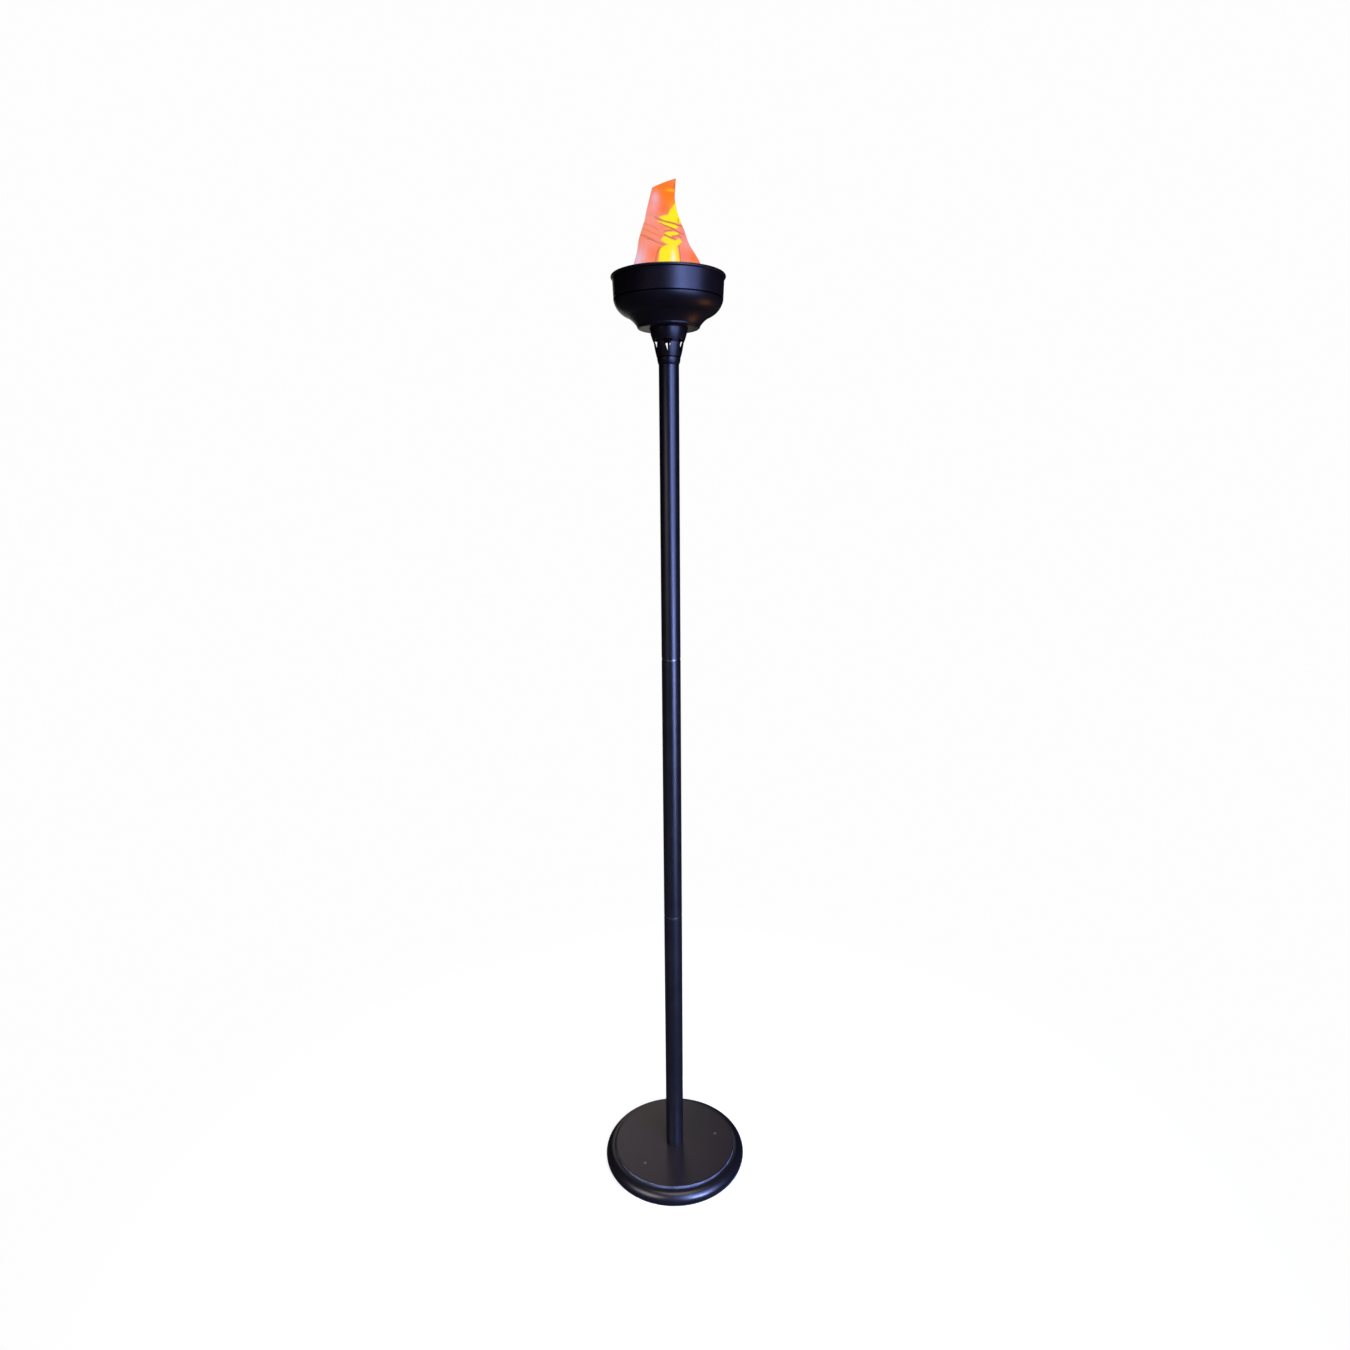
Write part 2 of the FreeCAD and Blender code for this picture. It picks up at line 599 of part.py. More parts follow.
def battery_door():
    """Flap in the bottom plate, with a rounded hinged edge, a pin bore and a thumb notch."""
    body = new_body("battery_door", y="hinge_y", z="door_z")
    half = "floor_plate_h/2"
    front = "bay_y + 2*door_gap - hinge_y"
    profile = [
        (front, "-" + half),
        ("0", "-" + half),
        ("door_edge_r", "0", "door_edge_r", 1),
        ("0", half, "door_edge_r", 1),
        (front, half),
    ]
    padded(body, lambda s: outline(s, profile), "2*bay_half - 2*door_gap",
           plane="YZ_Plane", midplane=True)
    pocketed(body, lambda s: circle(s, "0", "0", "hinge_pin_r + pin_gap"), "2*bay_half",
             plane="YZ_Plane", midplane=True)
    pocketed(body, lambda s: circle(s, "0", front + " + 6", "4"), "1.2",
             lift="-" + half, flip=True)


def hinge_pin():
    body = new_body("battery_hinge_pin", y="hinge_y", z="door_z")
    padded(body, lambda s: circle(s, "0", "0", "hinge_pin_r"), "2*bay_half + 3*bay_wall",
           plane="YZ_Plane", midplane=True)


def battery_cells():
    """Four AA cells side by side, laid head to tail."""
    body = new_body("battery_cells", x="-1.5*cell_pitch", y="bay_y + contact_h", z="cell_z")
    button_in = "cell_r - 0.6"

    def cell(start, direction):
        """Outline of one cell whose flat end is at start and whose button points along direction."""
        at = f"{start} + {direction}*"
        return [
            ("0", start),
            (button_in, start),
            ("cell_r", at + "0.6"),
            ("cell_r", at + "(cell_l - 0.6)"),
            (button_in, at + "cell_l"),
            ("button_r", at + "cell_l"),
            ("button_r", at + "(cell_l + button_l)"),
            ("0", at + "(cell_l + button_l)"),
        ]

    forward = revolved(body, cell("spring_l", "1"), plane="XY_Plane")
    sketch = new_sketch(body, "XY_Plane")
    bind(sketch, "AttachmentOffset.Base.x", "cell_pitch")
    outline(sketch, cell("cell_l + button_l", "-1"))
    backward = feature(body, "Revolution", sketch, ReferenceAxis=(sketch, ["V_Axis"]), Angle=360)
    along(body, [forward, backward], "X_Axis", "2*cell_pitch", 2)


def contact_springs():
    """A coil spring at the flat end of each cell."""
    turns = 4
    springs = []
    for i in range(4):
        forward = i % 2 == 0
        start = "bay_y + contact_h" if forward else "bay_y + contact_h + cell_l + button_l"
        helix = doc.addObject("Part::Helix", f"SpringPath{i}")
        bind(helix, "Radius", "spring_r")
        bind(helix, "Height", "spring_l - 2*spring_wire_r")
        bind(helix, "Pitch", f"(spring_l - 2*spring_wire_r)/{turns}")
        helix.SegmentLength = 1
        wire = doc.addObject("Part::Circle", f"SpringWire{i}")
        bind(wire, "Radius", "spring_wire_r")
        bind(wire, "Placement.Base.x", "spring_r")
        wire.Placement.Rotation = Rotation(Vector(1, 0, 0), 90)
        spring = doc.addObject("Part::Sweep", f"Spring{i}")
        spring.Sections = [wire]
        spring.Spine = (helix, [f"Edge{n}" for n in range(1, turns + 1)])
        spring.Solid = True
        spring.Frenet = True
        spring.Placement.Rotation = Rotation(Vector(1, 0, 0), -90)
        bind(spring, "Placement.Base.x", f"({i} - 1.5)*cell_pitch")
        bind(spring, "Placement.Base.y", start + " + spring_wire_r")
        bind(spring, "Placement.Base.z", "cell_z")
        springs.append(spring)
    group = doc.addObject("Part::Compound", "ContactSprings")
    group.Links = springs
    kept(group, "contact_springs")


def contact_plates():
    """Flat contacts at both ends of the bay, one pair for each two cells."""
    body = new_body("contact_plates", z="cell_z")
    half = "cell_r - 1"
    for y in ("bay_y", "bay_end - contact_h"):
        plate = box_outline("-1.5*cell_pitch - 0.2*cell_r", y,
                            "-0.5*cell_pitch + 0.2*cell_r", y + " + contact_h")
        pad = padded(body, lambda s: outline(s, plate), "2*(" + half + ")", midplane=True)
        along(body, [pad], "X_Axis", "2*cell_pitch", 2)


def base_screws():
    """Three screws from below, through the posts into the iron weight."""
    body = new_body("base_screws")
    seat = "foot_h + post_seat"
    shank = padded(body, lambda s: circle(s, "0", "-post_pcr", "base_screw_r"),
                   "weight_foot - foot_h - post_seat + weight_h - 1", lift=seat)
    head = padded(body, lambda s: circle(s, "0", "-post_pcr", "base_screw_head_r"),
                  "base_screw_head_h", lift=seat + " - base_screw_head_h")
    slot_width = 0.9
    slot_depth = 1.3
    notch = box_outline("-base_screw_head_r*0.6", f"-post_pcr - {slot_width}/2",
                        "base_screw_head_r*0.6", f"-post_pcr + {slot_width}/2")
    slot = pocketed(body, lambda s: outline(s, notch), str(slot_depth),
                    lift=seat + " - base_screw_head_h", flip=True)
    around(body, [shank, head, slot], "3")


def rubber_feet():
    body = new_body("rubber_feet")
    at = "foot_pcr*sqrt(0.5)"
    foot = padded(body, lambda s: circle(s, at, at, "foot_r"), "foot_h")
    around(body, [foot], "4")


def hex_nut(label, low, nipple_height="nut_h"):
    """A six-sided nut on a nipple, its underside at a given level."""
    body = new_body(label, z=low)
    corners = [(f"nut_r*cos({a})", f"nut_r*sin({a})") for a in range(30, 390, 60)]
    padded(body, lambda s: outline(s, corners), nipple_height)
    pocketed(body, lambda s: circle(s, "0", "0", "nipple_r + thread_gap"), nipple_height,
             lift=nipple_height)


# ---------------------------------------------------------------- pole


def pole_tube(label, low, high):
    """One length of steel tube with lightly chamfered ends."""
    body = new_body(label)
    revolved(body, [
        ("tube_in_r", low),
        ("pole_r - tube_edge", low),
        ("pole_r", f"{low} + tube_edge"),
        ("pole_r", f"{high} - tube_edge"),
        ("pole_r - tube_edge", high),
        ("tube_in_r", high),
    ])


def coupler(label, joint):
    """Plug pressed into the lower tube, with the ring that shows and a threaded stud above it."""
    body = new_body(label, z=joint)
    edge = "joint_ring_inset"
    ring_r = "pole_r - joint_ring_inset"
    half = "joint_ring_h/2"
    revolved(body, [
        ("lead_bore_r", f"-{half} - plug_l"),
        ("plug_r", f"-{half} - plug_l"),
        ("plug_r", f"-{half}"),
        (f"{ring_r} - {edge}", f"-{half}"),
        (ring_r, f"-{half} + {edge}"),
        (ring_r, f"{half} - {edge}"),
        (f"{ring_r} - {edge}", half),
        ("stud_r", half),
        ("stud_r", f"{half} + stud_l - 1"),
        ("stud_r - 1", f"{half} + stud_l"),
        ("lead_bore_r", f"{half} + stud_l"),
    ])


def pole():
    half = "joint_ring_h/2"
    pole_tube("tube_lower", "base_h", "joint_a - " + half)
    pole_tube("tube_middle", "joint_a + " + half, "joint_b - " + half)
    pole_tube("tube_upper", "joint_b + " + half, "tube_top")
    coupler("coupler_lower", "joint_a")
    coupler("coupler_upper", "joint_b")
    nipple_fit = "nipple_r + thread_gap"
    stud_fit = "stud_r + thread_gap"
    for label, joint in (("socket_middle", "joint_a"), ("socket_upper", "joint_b")):
        ring(label, "plug_r", stud_fit, f"{joint} + {half}", f"{joint} + {half} + socket_l")
    ring("plug_foot", "plug_r", nipple_fit, "base_h", "base_h + plug_l")
    ring("plug_top", "plug_r", nipple_fit, "tube_top - plug_l", "tube_top")
    nut_foot = "weight_foot - washer_h - nut_h"
    ring("nipple_foot", "nipple_r", "lead_bore_r", nut_foot + " - 2", "base_h + nipple_hold")
    ring("washer_foot", "washer_r", nipple_fit, "weight_foot - washer_h", "weight_foot")
    hex_nut("nut_foot", nut_foot)


# ---------------------------------------------------------------- neck and bowl


def neck_ferrule():
    """Tapered ring that leads from the tube to the neck."""
    body = new_body("neck_ferrule")
    revolved(body, [
        ("nipple_r + thread_gap", "tube_top"),
        ("pole_r", "tube_top"),
        ("pole_r + 0.3", "tube_top + 0.6"),
        ("ferrule_top_r", "neck_z - 0.8", "ferrule_curve", 1),
        ("ferrule_top_r - 0.7", "neck_z"),
        ("nipple_r + thread_gap", "neck_z"),
    ])


def neck():
    """Flared hollow neck with a floor, an inner lip and a ring of V-shaped vents."""
    body = new_body("neck", z="neck_z")
    tilted(body, Vector(0, 0, 1), "vent_turn")
    mid = "neck_h/2"
    revolved(body, [
        ("nipple_r + thread_gap", "0"),
        ("neck_foot_r - 0.7", "0"),
        ("neck_foot_r", "0.7"),
        ("neck_mid_r", mid, "neck_curve", 1),
        ("neck_top_r", "neck_h", "neck_curve/2", 1),
        ("bowl_screw_pcr - small_head_r - 1", "neck_h"),
        ("bowl_screw_pcr - small_head_r - 1", "neck_h - neck_lip_h"),
        ("neck_top_r - neck_wall - 1.2", "neck_h - neck_lip_h"),
        ("neck_mid_r - neck_wall", mid),
        ("neck_foot_r - neck_wall + 0.8", "neck_floor_h"),
        ("nipple_r + thread_gap", "neck_floor_h"),
    ])
    round_in = 1.4
    vent = [
        (f"-vent_w/2 + {round_in}", "vent_z + vent_h"),
        ("-vent_w/2", f"vent_z + vent_h - {round_in}", str(round_in), 1),
        (f"-{round_in}*0.7", "vent_z + 0.6"),
        (f"{round_in}*0.7", "vent_z + 0.6", str(round_in), 1),
        ("vent_w/2", f"vent_z + vent_h - {round_in}"),
        (f"vent_w/2 - {round_in}", "vent_z + vent_h", str(round_in), 1),
    ]
    cut = pocketed(body, lambda s: outline(s, vent), "neck_top_r + 2", plane="XZ_Plane", flip=True)
    around(body, [cut], "vent_count")
    hole = pocketed(body, lambda s: circle(s, "0", "bowl_screw_pcr", "small_screw_r + screw_gap"),
                    "neck_lip_h", lift="neck_h")
    around(body, [hole], "3")


def bowl():
    """Lower bowl: rounded belly, hollow cove and a rounded sole, open to the neck below."""
    body = new_body("bowl", z="rim_z")
    wall_out, wall_up = "0.5*bowl_wall", "0.85*bowl_wall"
    revolved(body, [
        ("intake_r", "-bowl_h"),
        ("cove_end_r - sole_r", "-bowl_h"),
        ("cove_end_r", "-cove_drop", "sole_r", 1),
        ("belly_end_r", "-belly_drop", "cove_curve", -1),
        ("seam_r", "-seam_drop", "belly_curve", 1),
        ("seam_r - bowl_wall", "-seam_drop"),
        (f"belly_end_r - {wall_out}", f"-belly_drop + {wall_up}", "belly_curve - bowl_wall", -1),
        (f"cove_end_r - {wall_up}", f"-cove_drop + {wall_out}", "cove_curve + bowl_wall", 1),
        ("cove_end_r - sole_r", "-bowl_h + bowl_wall", "sole_r - bowl_wall + 1", -1),
        ("intake_r", "-bowl_h + bowl_wall"),
    ])
    at = "bowl_screw_pcr"
    hole = pocketed(body, lambda s: circle(s, "0", at, "small_screw_r + screw_gap"), "bowl_wall",
                    lift="-bowl_h + bowl_wall")
    around(body, [hole], "3")
    tilted(body, Vector(0, 0, 1), "vent_turn")


def small_screws(label, reach, seat, length, count, turn="0"):
    """A ring of small round-headed screws, each standing on a seat at a given level."""
    body = new_body(label, z=seat)
    if turn != "0":
        tilted(body, Vector(0, 0, 1), turn)
    shank = padded(body, lambda s: circle(s, "0", reach, "small_screw_r"), length, lift="-" + length)
    head = padded(body, lambda s: circle(s, "0", reach, "small_head_r"), "small_head_h")
    slot = pocketed(body, lambda s: outline(s, box_outline("-small_head_r*0.6", reach + " - 0.35",
                                                          "small_head_r*0.6", reach + " + 0.35")),
                    "0.9", lift="small_head_h")
    around(body, [shank, head, slot], count)


def bowl_band():
    """Upper band with a beaded rim, a shoulder for the deck's ring and a spigot for the bowl."""
    body = new_body("bowl_band", z="rim_z")
    spigot = "seam_r - bowl_wall - spigot_gap"
    under = "-deck_drop - deck_h"
    revolved(body, [
        ("band_in_r", "0"),
        ("band_in_r", under + " - ledge_h"),
        (f"{spigot} - spigot_wall", under + " - ledge_h"),
        (f"{spigot} - spigot_wall - spigot_taper", "-seam_drop - spigot_l"),
        (f"{spigot} - spigot_taper", "-seam_drop - spigot_l"),
        (spigot, "-seam_drop"),
        ("seam_r - seam_depth", "-seam_drop"),
        ("seam_r - seam_depth", "-seam_drop + seam_gap"),
        ("seam_r", "-seam_drop + seam_gap"),
        ("band_top_r", "-2*lip_r"),
        ("band_top_r + lip_r", "-lip_r", "lip_r", 1),
        ("band_top_r", "0", "lip_r", 1),
    ])


def deck_ring():
    """Ring on the band's shoulder, which carries the deck and takes its screws."""
    body = new_body("deck_ring", z="deck_under")
    revolved(body, box_outline("ledge_in_r", "-ledge_h", "band_in_r", "0"))
    hole = pocketed(body, lambda s: circle(s, "0", "deck_screw_pcr", "small_screw_r + screw_gap"),
                    "ledge_h")
    around(body, [hole], "3")


def deck():
    """Round cover under the rim: fan outlet, light holes, switch opening, fan and board posts."""
    body = new_body("deck", z="deck_z")
    revolved(body, box_outline("fan_duct_r", "-deck_h", "deck_r", "0"))
    boss = padded(body, lambda s: circle(s, "fan_hole", "fan_hole", "fan_boss_r"),
                  "fan_drop", lift="-deck_h - fan_drop")
    bore = pocketed(body, lambda s: circle(s, "fan_hole", "fan_hole", "small_screw_r + screw_gap"),
                    "fan_drop", lift="-deck_h")
    around(body, [boss, bore], "4")
    lamp = pocketed(body, lambda s: circle(s, "0", "led_pcr", "led_r + led_gap"), "deck_h")
    around(body, [lamp], "8")
    screw = pocketed(body, lambda s: circle(s, "0", "deck_screw_pcr", "small_screw_r + screw_gap"),
                     "deck_h")
    around(body, [screw], "3")
    half_l, half_w = "(switch_l/2 - switch_step)", "(switch_w/2 - switch_step)"
    opening = box_outline(f"-{half_l}", f"switch_y - {half_w}", half_l, f"switch_y + {half_w}")
    pocketed(body, lambda s: outline(s, opening), "deck_h")
    for side in ("-", ""):
        padded(body, lambda s: circle(s, "control_x", f"{side}control_w/3", "2.2"),
               "control_drop", lift="-deck_h - control_drop")


def hoops():
    """Two hoops that grip the hem of the silk, as an embroidery hoop does."""
    ring("hoop_inner", "hoop_r", "hoop_r - hoop_wall", "deck_z", "deck_z + hoop_h")
    outer = "silk_out_r + silk_gap"
    ring("hoop_outer", outer + " + hoop_wall", outer, "deck_z", "deck_z + hoop_h - 1")


def lights(label, start):
    """Four domed lights, a quarter turn apart, standing on the ring board."""
    body = new_body(label, z="led_z")
    sketch = new_sketch(body, "XZ_Plane")
    tilted(body, Vector(0, 0, 1), start)
    at = "led_pcr"
    profile = [
        (at, "0"),
        (at + " + led_flange_r", "0"),
        (at + " + led_flange_r", "1"),
        (at + " + led_r", "1"),
        (at + " + led_r", "led_l - led_r"),
        (at, "led_l", "led_r", 1),
    ]
    outline(sketch, profile)
    axis = sketch.addGeometry(Part.LineSegment(Vector(number(at), -5, 0), Vector(number(at), -1, 0)), True)
    sketch.addConstraint(Sketcher.Constraint("Vertical", axis))
    drive(sketch, "DistanceX", axis, 1, at)
    lamp = feature(body, "Revolution", sketch, ReferenceAxis=(sketch, ["Axis0"]), Angle=360)
    around(body, [lamp], "4")


def led_board():
    """Ring board that carries the lights, resting on the fan's corners."""
    ring("led_board", "led_pcr + led_board_w", "led_pcr - led_board_w", "fan_top", "led_z")


# ---------------------------------------------------------------- fan


def fan_frame():
    """Square fan frame with a round duct, four struts, a motor plate and its bearing tube."""
    body = new_body("fan_frame", z="fan_foot")
    half, flat = "fan_half", "(fan_half - fan_corner_r)"
    corner = ("fan_corner_r", 1)
    square = [
        (half, f"-{flat}", *corner),
        (half, flat),
        (flat, half, *corner),
        (f"-{flat}", half),
        (f"-{half}", flat, *corner),
        (f"-{half}", f"-{flat}"),
        (f"-{flat}", f"-{half}", *corner),
        (flat, f"-{half}"),
    ]
    padded(body, lambda s: outline(s, square), "fan_h")
    pocketed(body, lambda s: circle(s, "0", "0", "fan_duct_r"), "fan_h", lift="fan_h")
    hole = pocketed(body, lambda s: circle(s, "fan_hole", "fan_hole", "small_screw_r + 0.4"),
                    "fan_h", lift="fan_h")
    around(body, [hole], "4")
    strut = box_outline("0", "-strut_w/2", "fan_duct_r + 0.5", "strut_w/2")
    arm = padded(body, lambda s: outline(s, strut), "strut_h", lift="fan_h - strut_h")
    around(body, [arm], "4")
    padded(body, lambda s: circle(s, "0", "0", "hub_plate_r"), "strut_h", lift="fan_h - strut_h")
    padded(body, lambda s: circle(s, "0", "0", "bearing_tube_r"), "bearing_l",
           lift="fan_h - strut_h - bearing_l")
    pocketed(body, lambda s: circle(s, "0", "0", "bearing_r + pin_gap"), "bearing_l",
             lift="fan_h - strut_h")


def fan_motor():
    """Sleeve bearing and wound stator, fixed to the frame."""
    top = "fan_top - strut_h"
    ring("fan_bearing", "bearing_r", "shaft_r + pin_gap", top + " - bearing_l", top)
    body = new_body("fan_stator", z=top + " - 1.2 - stator_h")
    core = "bearing_tube_r + pin_gap"
    revolved(body, box_outline(core, "0.3*stator_h", "stator_r", "0.7*stator_h"))
    revolved(body, box_outline(core, "0", "stator_r - 3", "stator_h"))


def fan_rotor():
    """Hub cup with its blades, and the shaft and ring magnet that turn with it."""
    body = new_body("fan_rotor", z="rotor_foot")
    revolved(body, [
        ("0", "0"),
        ("rotor_r - 1.5", "0"),
        ("rotor_r", "1.5", "1.5", 1),
        ("rotor_r", "rotor_h"),
        ("rotor_r - rotor_wall", "rotor_h"),
        ("rotor_r - rotor_wall", "rotor_wall"),
        ("0", "rotor_wall"),
    ])

    def section(distance, chord, pitch):
        """A slanting strip, the blade's section at one distance from the shaft."""
        sketch = new_sketch(body, "YZ_Plane", lift=distance)
        corners = []
        for u, v in ((-1, -1), (1, -1), (1, 1), (-1, 1)):
            across = f"({u}*{chord}/2*cos({pitch}) - {v}*blade_t/2*sin({pitch}))"
            up = f"({u}*{chord}/2*sin({pitch}) + {v}*blade_t/2*cos({pitch}) + rotor_h/2)"
            corners.append((across, up))
        outline(sketch, corners)
        return sketch

    root = section("rotor_r - 0.8*rotor_wall", "root_chord", "root_pitch")
    tip = section("blade_tip_r", "tip_chord", "tip_pitch")
    blade = body.newObject("PartDesign::AdditiveLoft", "Blade")
    blade.Profile = (root, [""])
    blade.Sections = [(tip, [""])]
    around(body, [blade], "blade_count")

    ring("fan_magnet", "rotor_r - rotor_wall", "rotor_r - rotor_wall - magnet_h",
         "rotor_foot + rotor_wall + 0.6", "rotor_foot + rotor_h - 0.8")
    shaft = new_body("fan_shaft", z="rotor_foot + rotor_wall")
    revolved(shaft, [("0", "0"), ("shaft_r", "0"), ("shaft_r", "rotor_h - 0.4"),
                     ("shaft_r - 0.3", "rotor_h - 0.1"), ("0", "rotor_h - 0.1")])


def fan_guard():
    """Wire guard over the fan outlet: rings on four spokes."""
    pieces = []
    level = "deck_z + guard_wire_r"
    for i in range(1, int(number("guard_rings")) + 1):
        hoop = doc.addObject("Part::Torus", f"GuardRing{i}")
        bind(hoop, "Radius1", f"{i}*guard_pitch")
        bind(hoop, "Radius2", "guard_wire_r*0.8")
        bind(hoop, "Placement.Base.z", level)
        pieces.append(hoop)
    for i in range(4):
        spoke = doc.addObject("Part::Cylinder", f"GuardSpoke{i}")
        bind(spoke, "Radius", "guard_wire_r")
        bind(spoke, "Height", "guard_reach")
        spoke.Placement.Rotation = Rotation(Vector(0, 0, 1), 22.5 + 90 * i) * Rotation(Vector(0, 1, 0), 90)
        bind(spoke, "Placement.Base.z", level)
        pieces.append(spoke)
    fused = doc.addObject("Part::MultiFuse", "FanGuard")
    fused.Shapes = pieces
    kept(fused, "fan_guard")


def fan_screws():
    """Four long screws from under the fan into the deck's bosses."""
    body = new_body("fan_screws", z="fan_foot")
    shank = padded(body, lambda s: circle(s, "fan_hole", "fan_hole", "small_screw_r"),
                   "fan_h + fan_drop")
    head = padded(body, lambda s: circle(s, "fan_hole", "fan_hole", "small_head_r"),
                  "small_head_h", lift="-small_head_h")
    around(body, [shank, head], "4")


# ---------------------------------------------------------------- switch and electronics


def switch():
    """Rocker switch let into the deck: body, rocker, pin and two terminals."""
    body = new_body("switch_body", y="switch_y", z="deck_z")

    def block(inset):
        x, y = f"(switch_l/2 - {inset})", f"(switch_w/2 - {inset})"
        return box_outline(f"-{x}", f"-{y}", x, y)

    padded(body, lambda s: outline(s, block("0")), "switch_flange_h")
    padded(body, lambda s: outline(s, block("(switch_step + screw_gap)")),
           "switch_depth", lift="-switch_depth")
    pocketed(body, lambda s: outline(s, block("(switch_step + switch_side)")),
             "switch_depth/2 + switch_flange_h", lift="switch_flange_h")
    pocketed(body, lambda s: circle(s, "0", "pivot_z - deck_z", "rocker_pin_r"),
             "switch_w - 2*switch_step - 1", plane="XZ_Plane", midplane=True)

    rocker = new_body("switch_rocker", y="switch_y", z="pivot_z")
    tilted(rocker, Vector(0, 1, 0), "rocker_tilt")
    reach = "(switch_l/2 - switch_step - switch_side - 2*rocker_gap)"
    side = "(switch_w/2 - switch_step - switch_side - rocker_gap)"
    profile = [
        (f"-{reach}", "1.9"),
        (f"-{reach} + 0.5", "-1.2"),
        ("0", "-3.4"),
        (f"{reach} - 0.5", "-1.2"),
        (reach, "1.9"),
        ("0", "1.5"),
    ]
    padded(rocker, lambda s: outline(s, profile), f"2*{side}", plane="XZ_Plane", midplane=True)
    pocketed(rocker, lambda s: circle(s, "0", "0", "rocker_pin_r + pin_gap"), f"3*{side}",
             plane="XZ_Plane", midplane=True)

    pin = new_body("switch_pin", y="switch_y", z="pivot_z")
    padded(pin, lambda s: circle(s, "0", "0", "rocker_pin_r"), "switch_w - 2*switch_step - 1",
           plane="XZ_Plane", midplane=True)

    terminals = new_body("switch_terminals", y="switch_y", z="deck_z - switch_depth")
    for x in ("-3.5", "3.5"):
        blade = box_outline(f"{x} - 0.4", "-1.4", f"{x} + 0.4", "1.4")
        padded(terminals, lambda s: outline(s, blade), "5", lift="-5")


def control_board():
    """Driver board under the deck with its capacitor and chip."""
    body = new_body("control_board", x="control_x", z="deck_under - control_drop")
    x, y = "control_l/2", "control_w/2"
    padded(body, lambda s: outline(s, box_outline(f"-{x}", f"-{y}", x, y)), "board_h", lift="-board_h")
    parts = new_body("board_parts", x="control_x", z="deck_under - control_drop - board_h")
    padded(parts, lambda s: circle(s, "-4", "0", "4"), "9", lift="-9")
    padded(parts, lambda s: outline(s, box_outline("3", "-4", "9", "4")), "2", lift="-2")


def leads():
    """The lead up the pole and the short wires under the deck."""
    under_fan = "fan_foot - small_head_h - 8"
    board = "deck_under - control_drop - board_h"
    lead_z = "weight_foot - washer_h - nut_h - 9"
    tube_along("power_lead", [
        ("0", "bay_y", "cell_z"),
        ("0", "bay_y - 8", "cell_z"),
        ("0", "0", lead_z),
        ("0", "0", under_fan + " - 12"),
        ("control_x*0.4", "-3", under_fan + " + 1"),
        ("control_x - 4", "-10", under_fan + " + 4"),
        ("control_x - 4", "-10", board),
    ], "lead_r")
    over_lights = "led_z + 1"
    board_top = "deck_under - control_drop"
    tube_along("fan_wire", [
        ("-hub_plate_r", "0", "fan_top + 0.8"),
        ("4 - fan_duct_r", "0", "fan_top + 0.8"),
        ("5 - led_pcr", "-6", over_lights),
        ("control_x + 5", "-6", over_lights),
        ("control_x + 5", "-6", board_top),
    ], "0.7")
    tube_along("light_wire", [
        ("control_x + 4", "10", board_top),
        ("control_x + 4", "10", "deck_under - 2.3"),
        ("control_x + 12", "16", "deck_under - 2.3"),
        ("control_x + 12", "16", "led_z"),
    ], "0.6")
    switch_foot = "deck_z - switch_depth - 5"
    tube_along("switch_wire", [
        ("control_x - 4", "control_w/2 - 2", board),
        ("control_x - 4", "control_w/2 - 2", board + " - 7"),
        ("-30", "52", under_fan + " + 1"),
        ("-3.5", "switch_y", switch_foot + " - 7"),
        ("-3.5", "switch_y", switch_foot),
    ], "0.7")


# ---------------------------------------------------------------- silk flame


def flame_loft(name, inset):
    """Sleeve through the five stations of the flame, drawn in by an inset at every one."""
    stations = [
        ("silk_out_r", "silk_out_r", "0", "hoop_h/2 - deck_drop - 3", "0"),
        ("silk_out_r", "silk_out_r", "0", "hoop_h + 1 - deck_drop", "0"),
        ("flame_low_w", "flame_low_d", "flame_low_x", "flame_low_z", "0"),
        ("flame_mid_w", "flame_mid_d", "flame_mid_x", "flame_mid_z", "0"),
        ("flame_high_w", "flame_high_d", "flame_high_x", "flame_high_z", "0"),
        ("flame_top_w", "flame_top_d", "flame_top_x", "flame_top_z", "-flame_slant"),
    ]
    rings = []
    for i, (width, depth, x, z, slant) in enumerate(stations):
        station = doc.addObject("Part::Ellipse", f"{name}Station{i}")
        bind(station, "MajorRadius", f"{width} - {inset} + 0.001")
        bind(station, "MinorRadius", f"{depth} - {inset}")
        if slant != "0":
            station.Placement.Rotation = Rotation(Vector(0, 1, 0), number(slant))
            bind(station, "Placement.Rotation.Angle", slant)
        bind(station, "Placement.Base.x", x)
        bind(station, "Placement.Base.z", f"rim_z + {z}")
        rings.append(station)
    loft = doc.addObject("Part::Loft", name)
    loft.Sections = rings
    loft.Solid = True
    loft.Ruled = True
    return loft


def silk_flame():
    """The blown silk as a thin open sleeve, wide at the hoops and flattened at its slanting top."""
    cut = doc.addObject("Part::Cut", "SilkFlame")
    cut.Base = flame_loft("SilkOutside", "0")
    cut.Tool = flame_loft("SilkInside", "silk_h")
    kept(cut, "silk_flame")


# ---------------------------------------------------------------- build and export


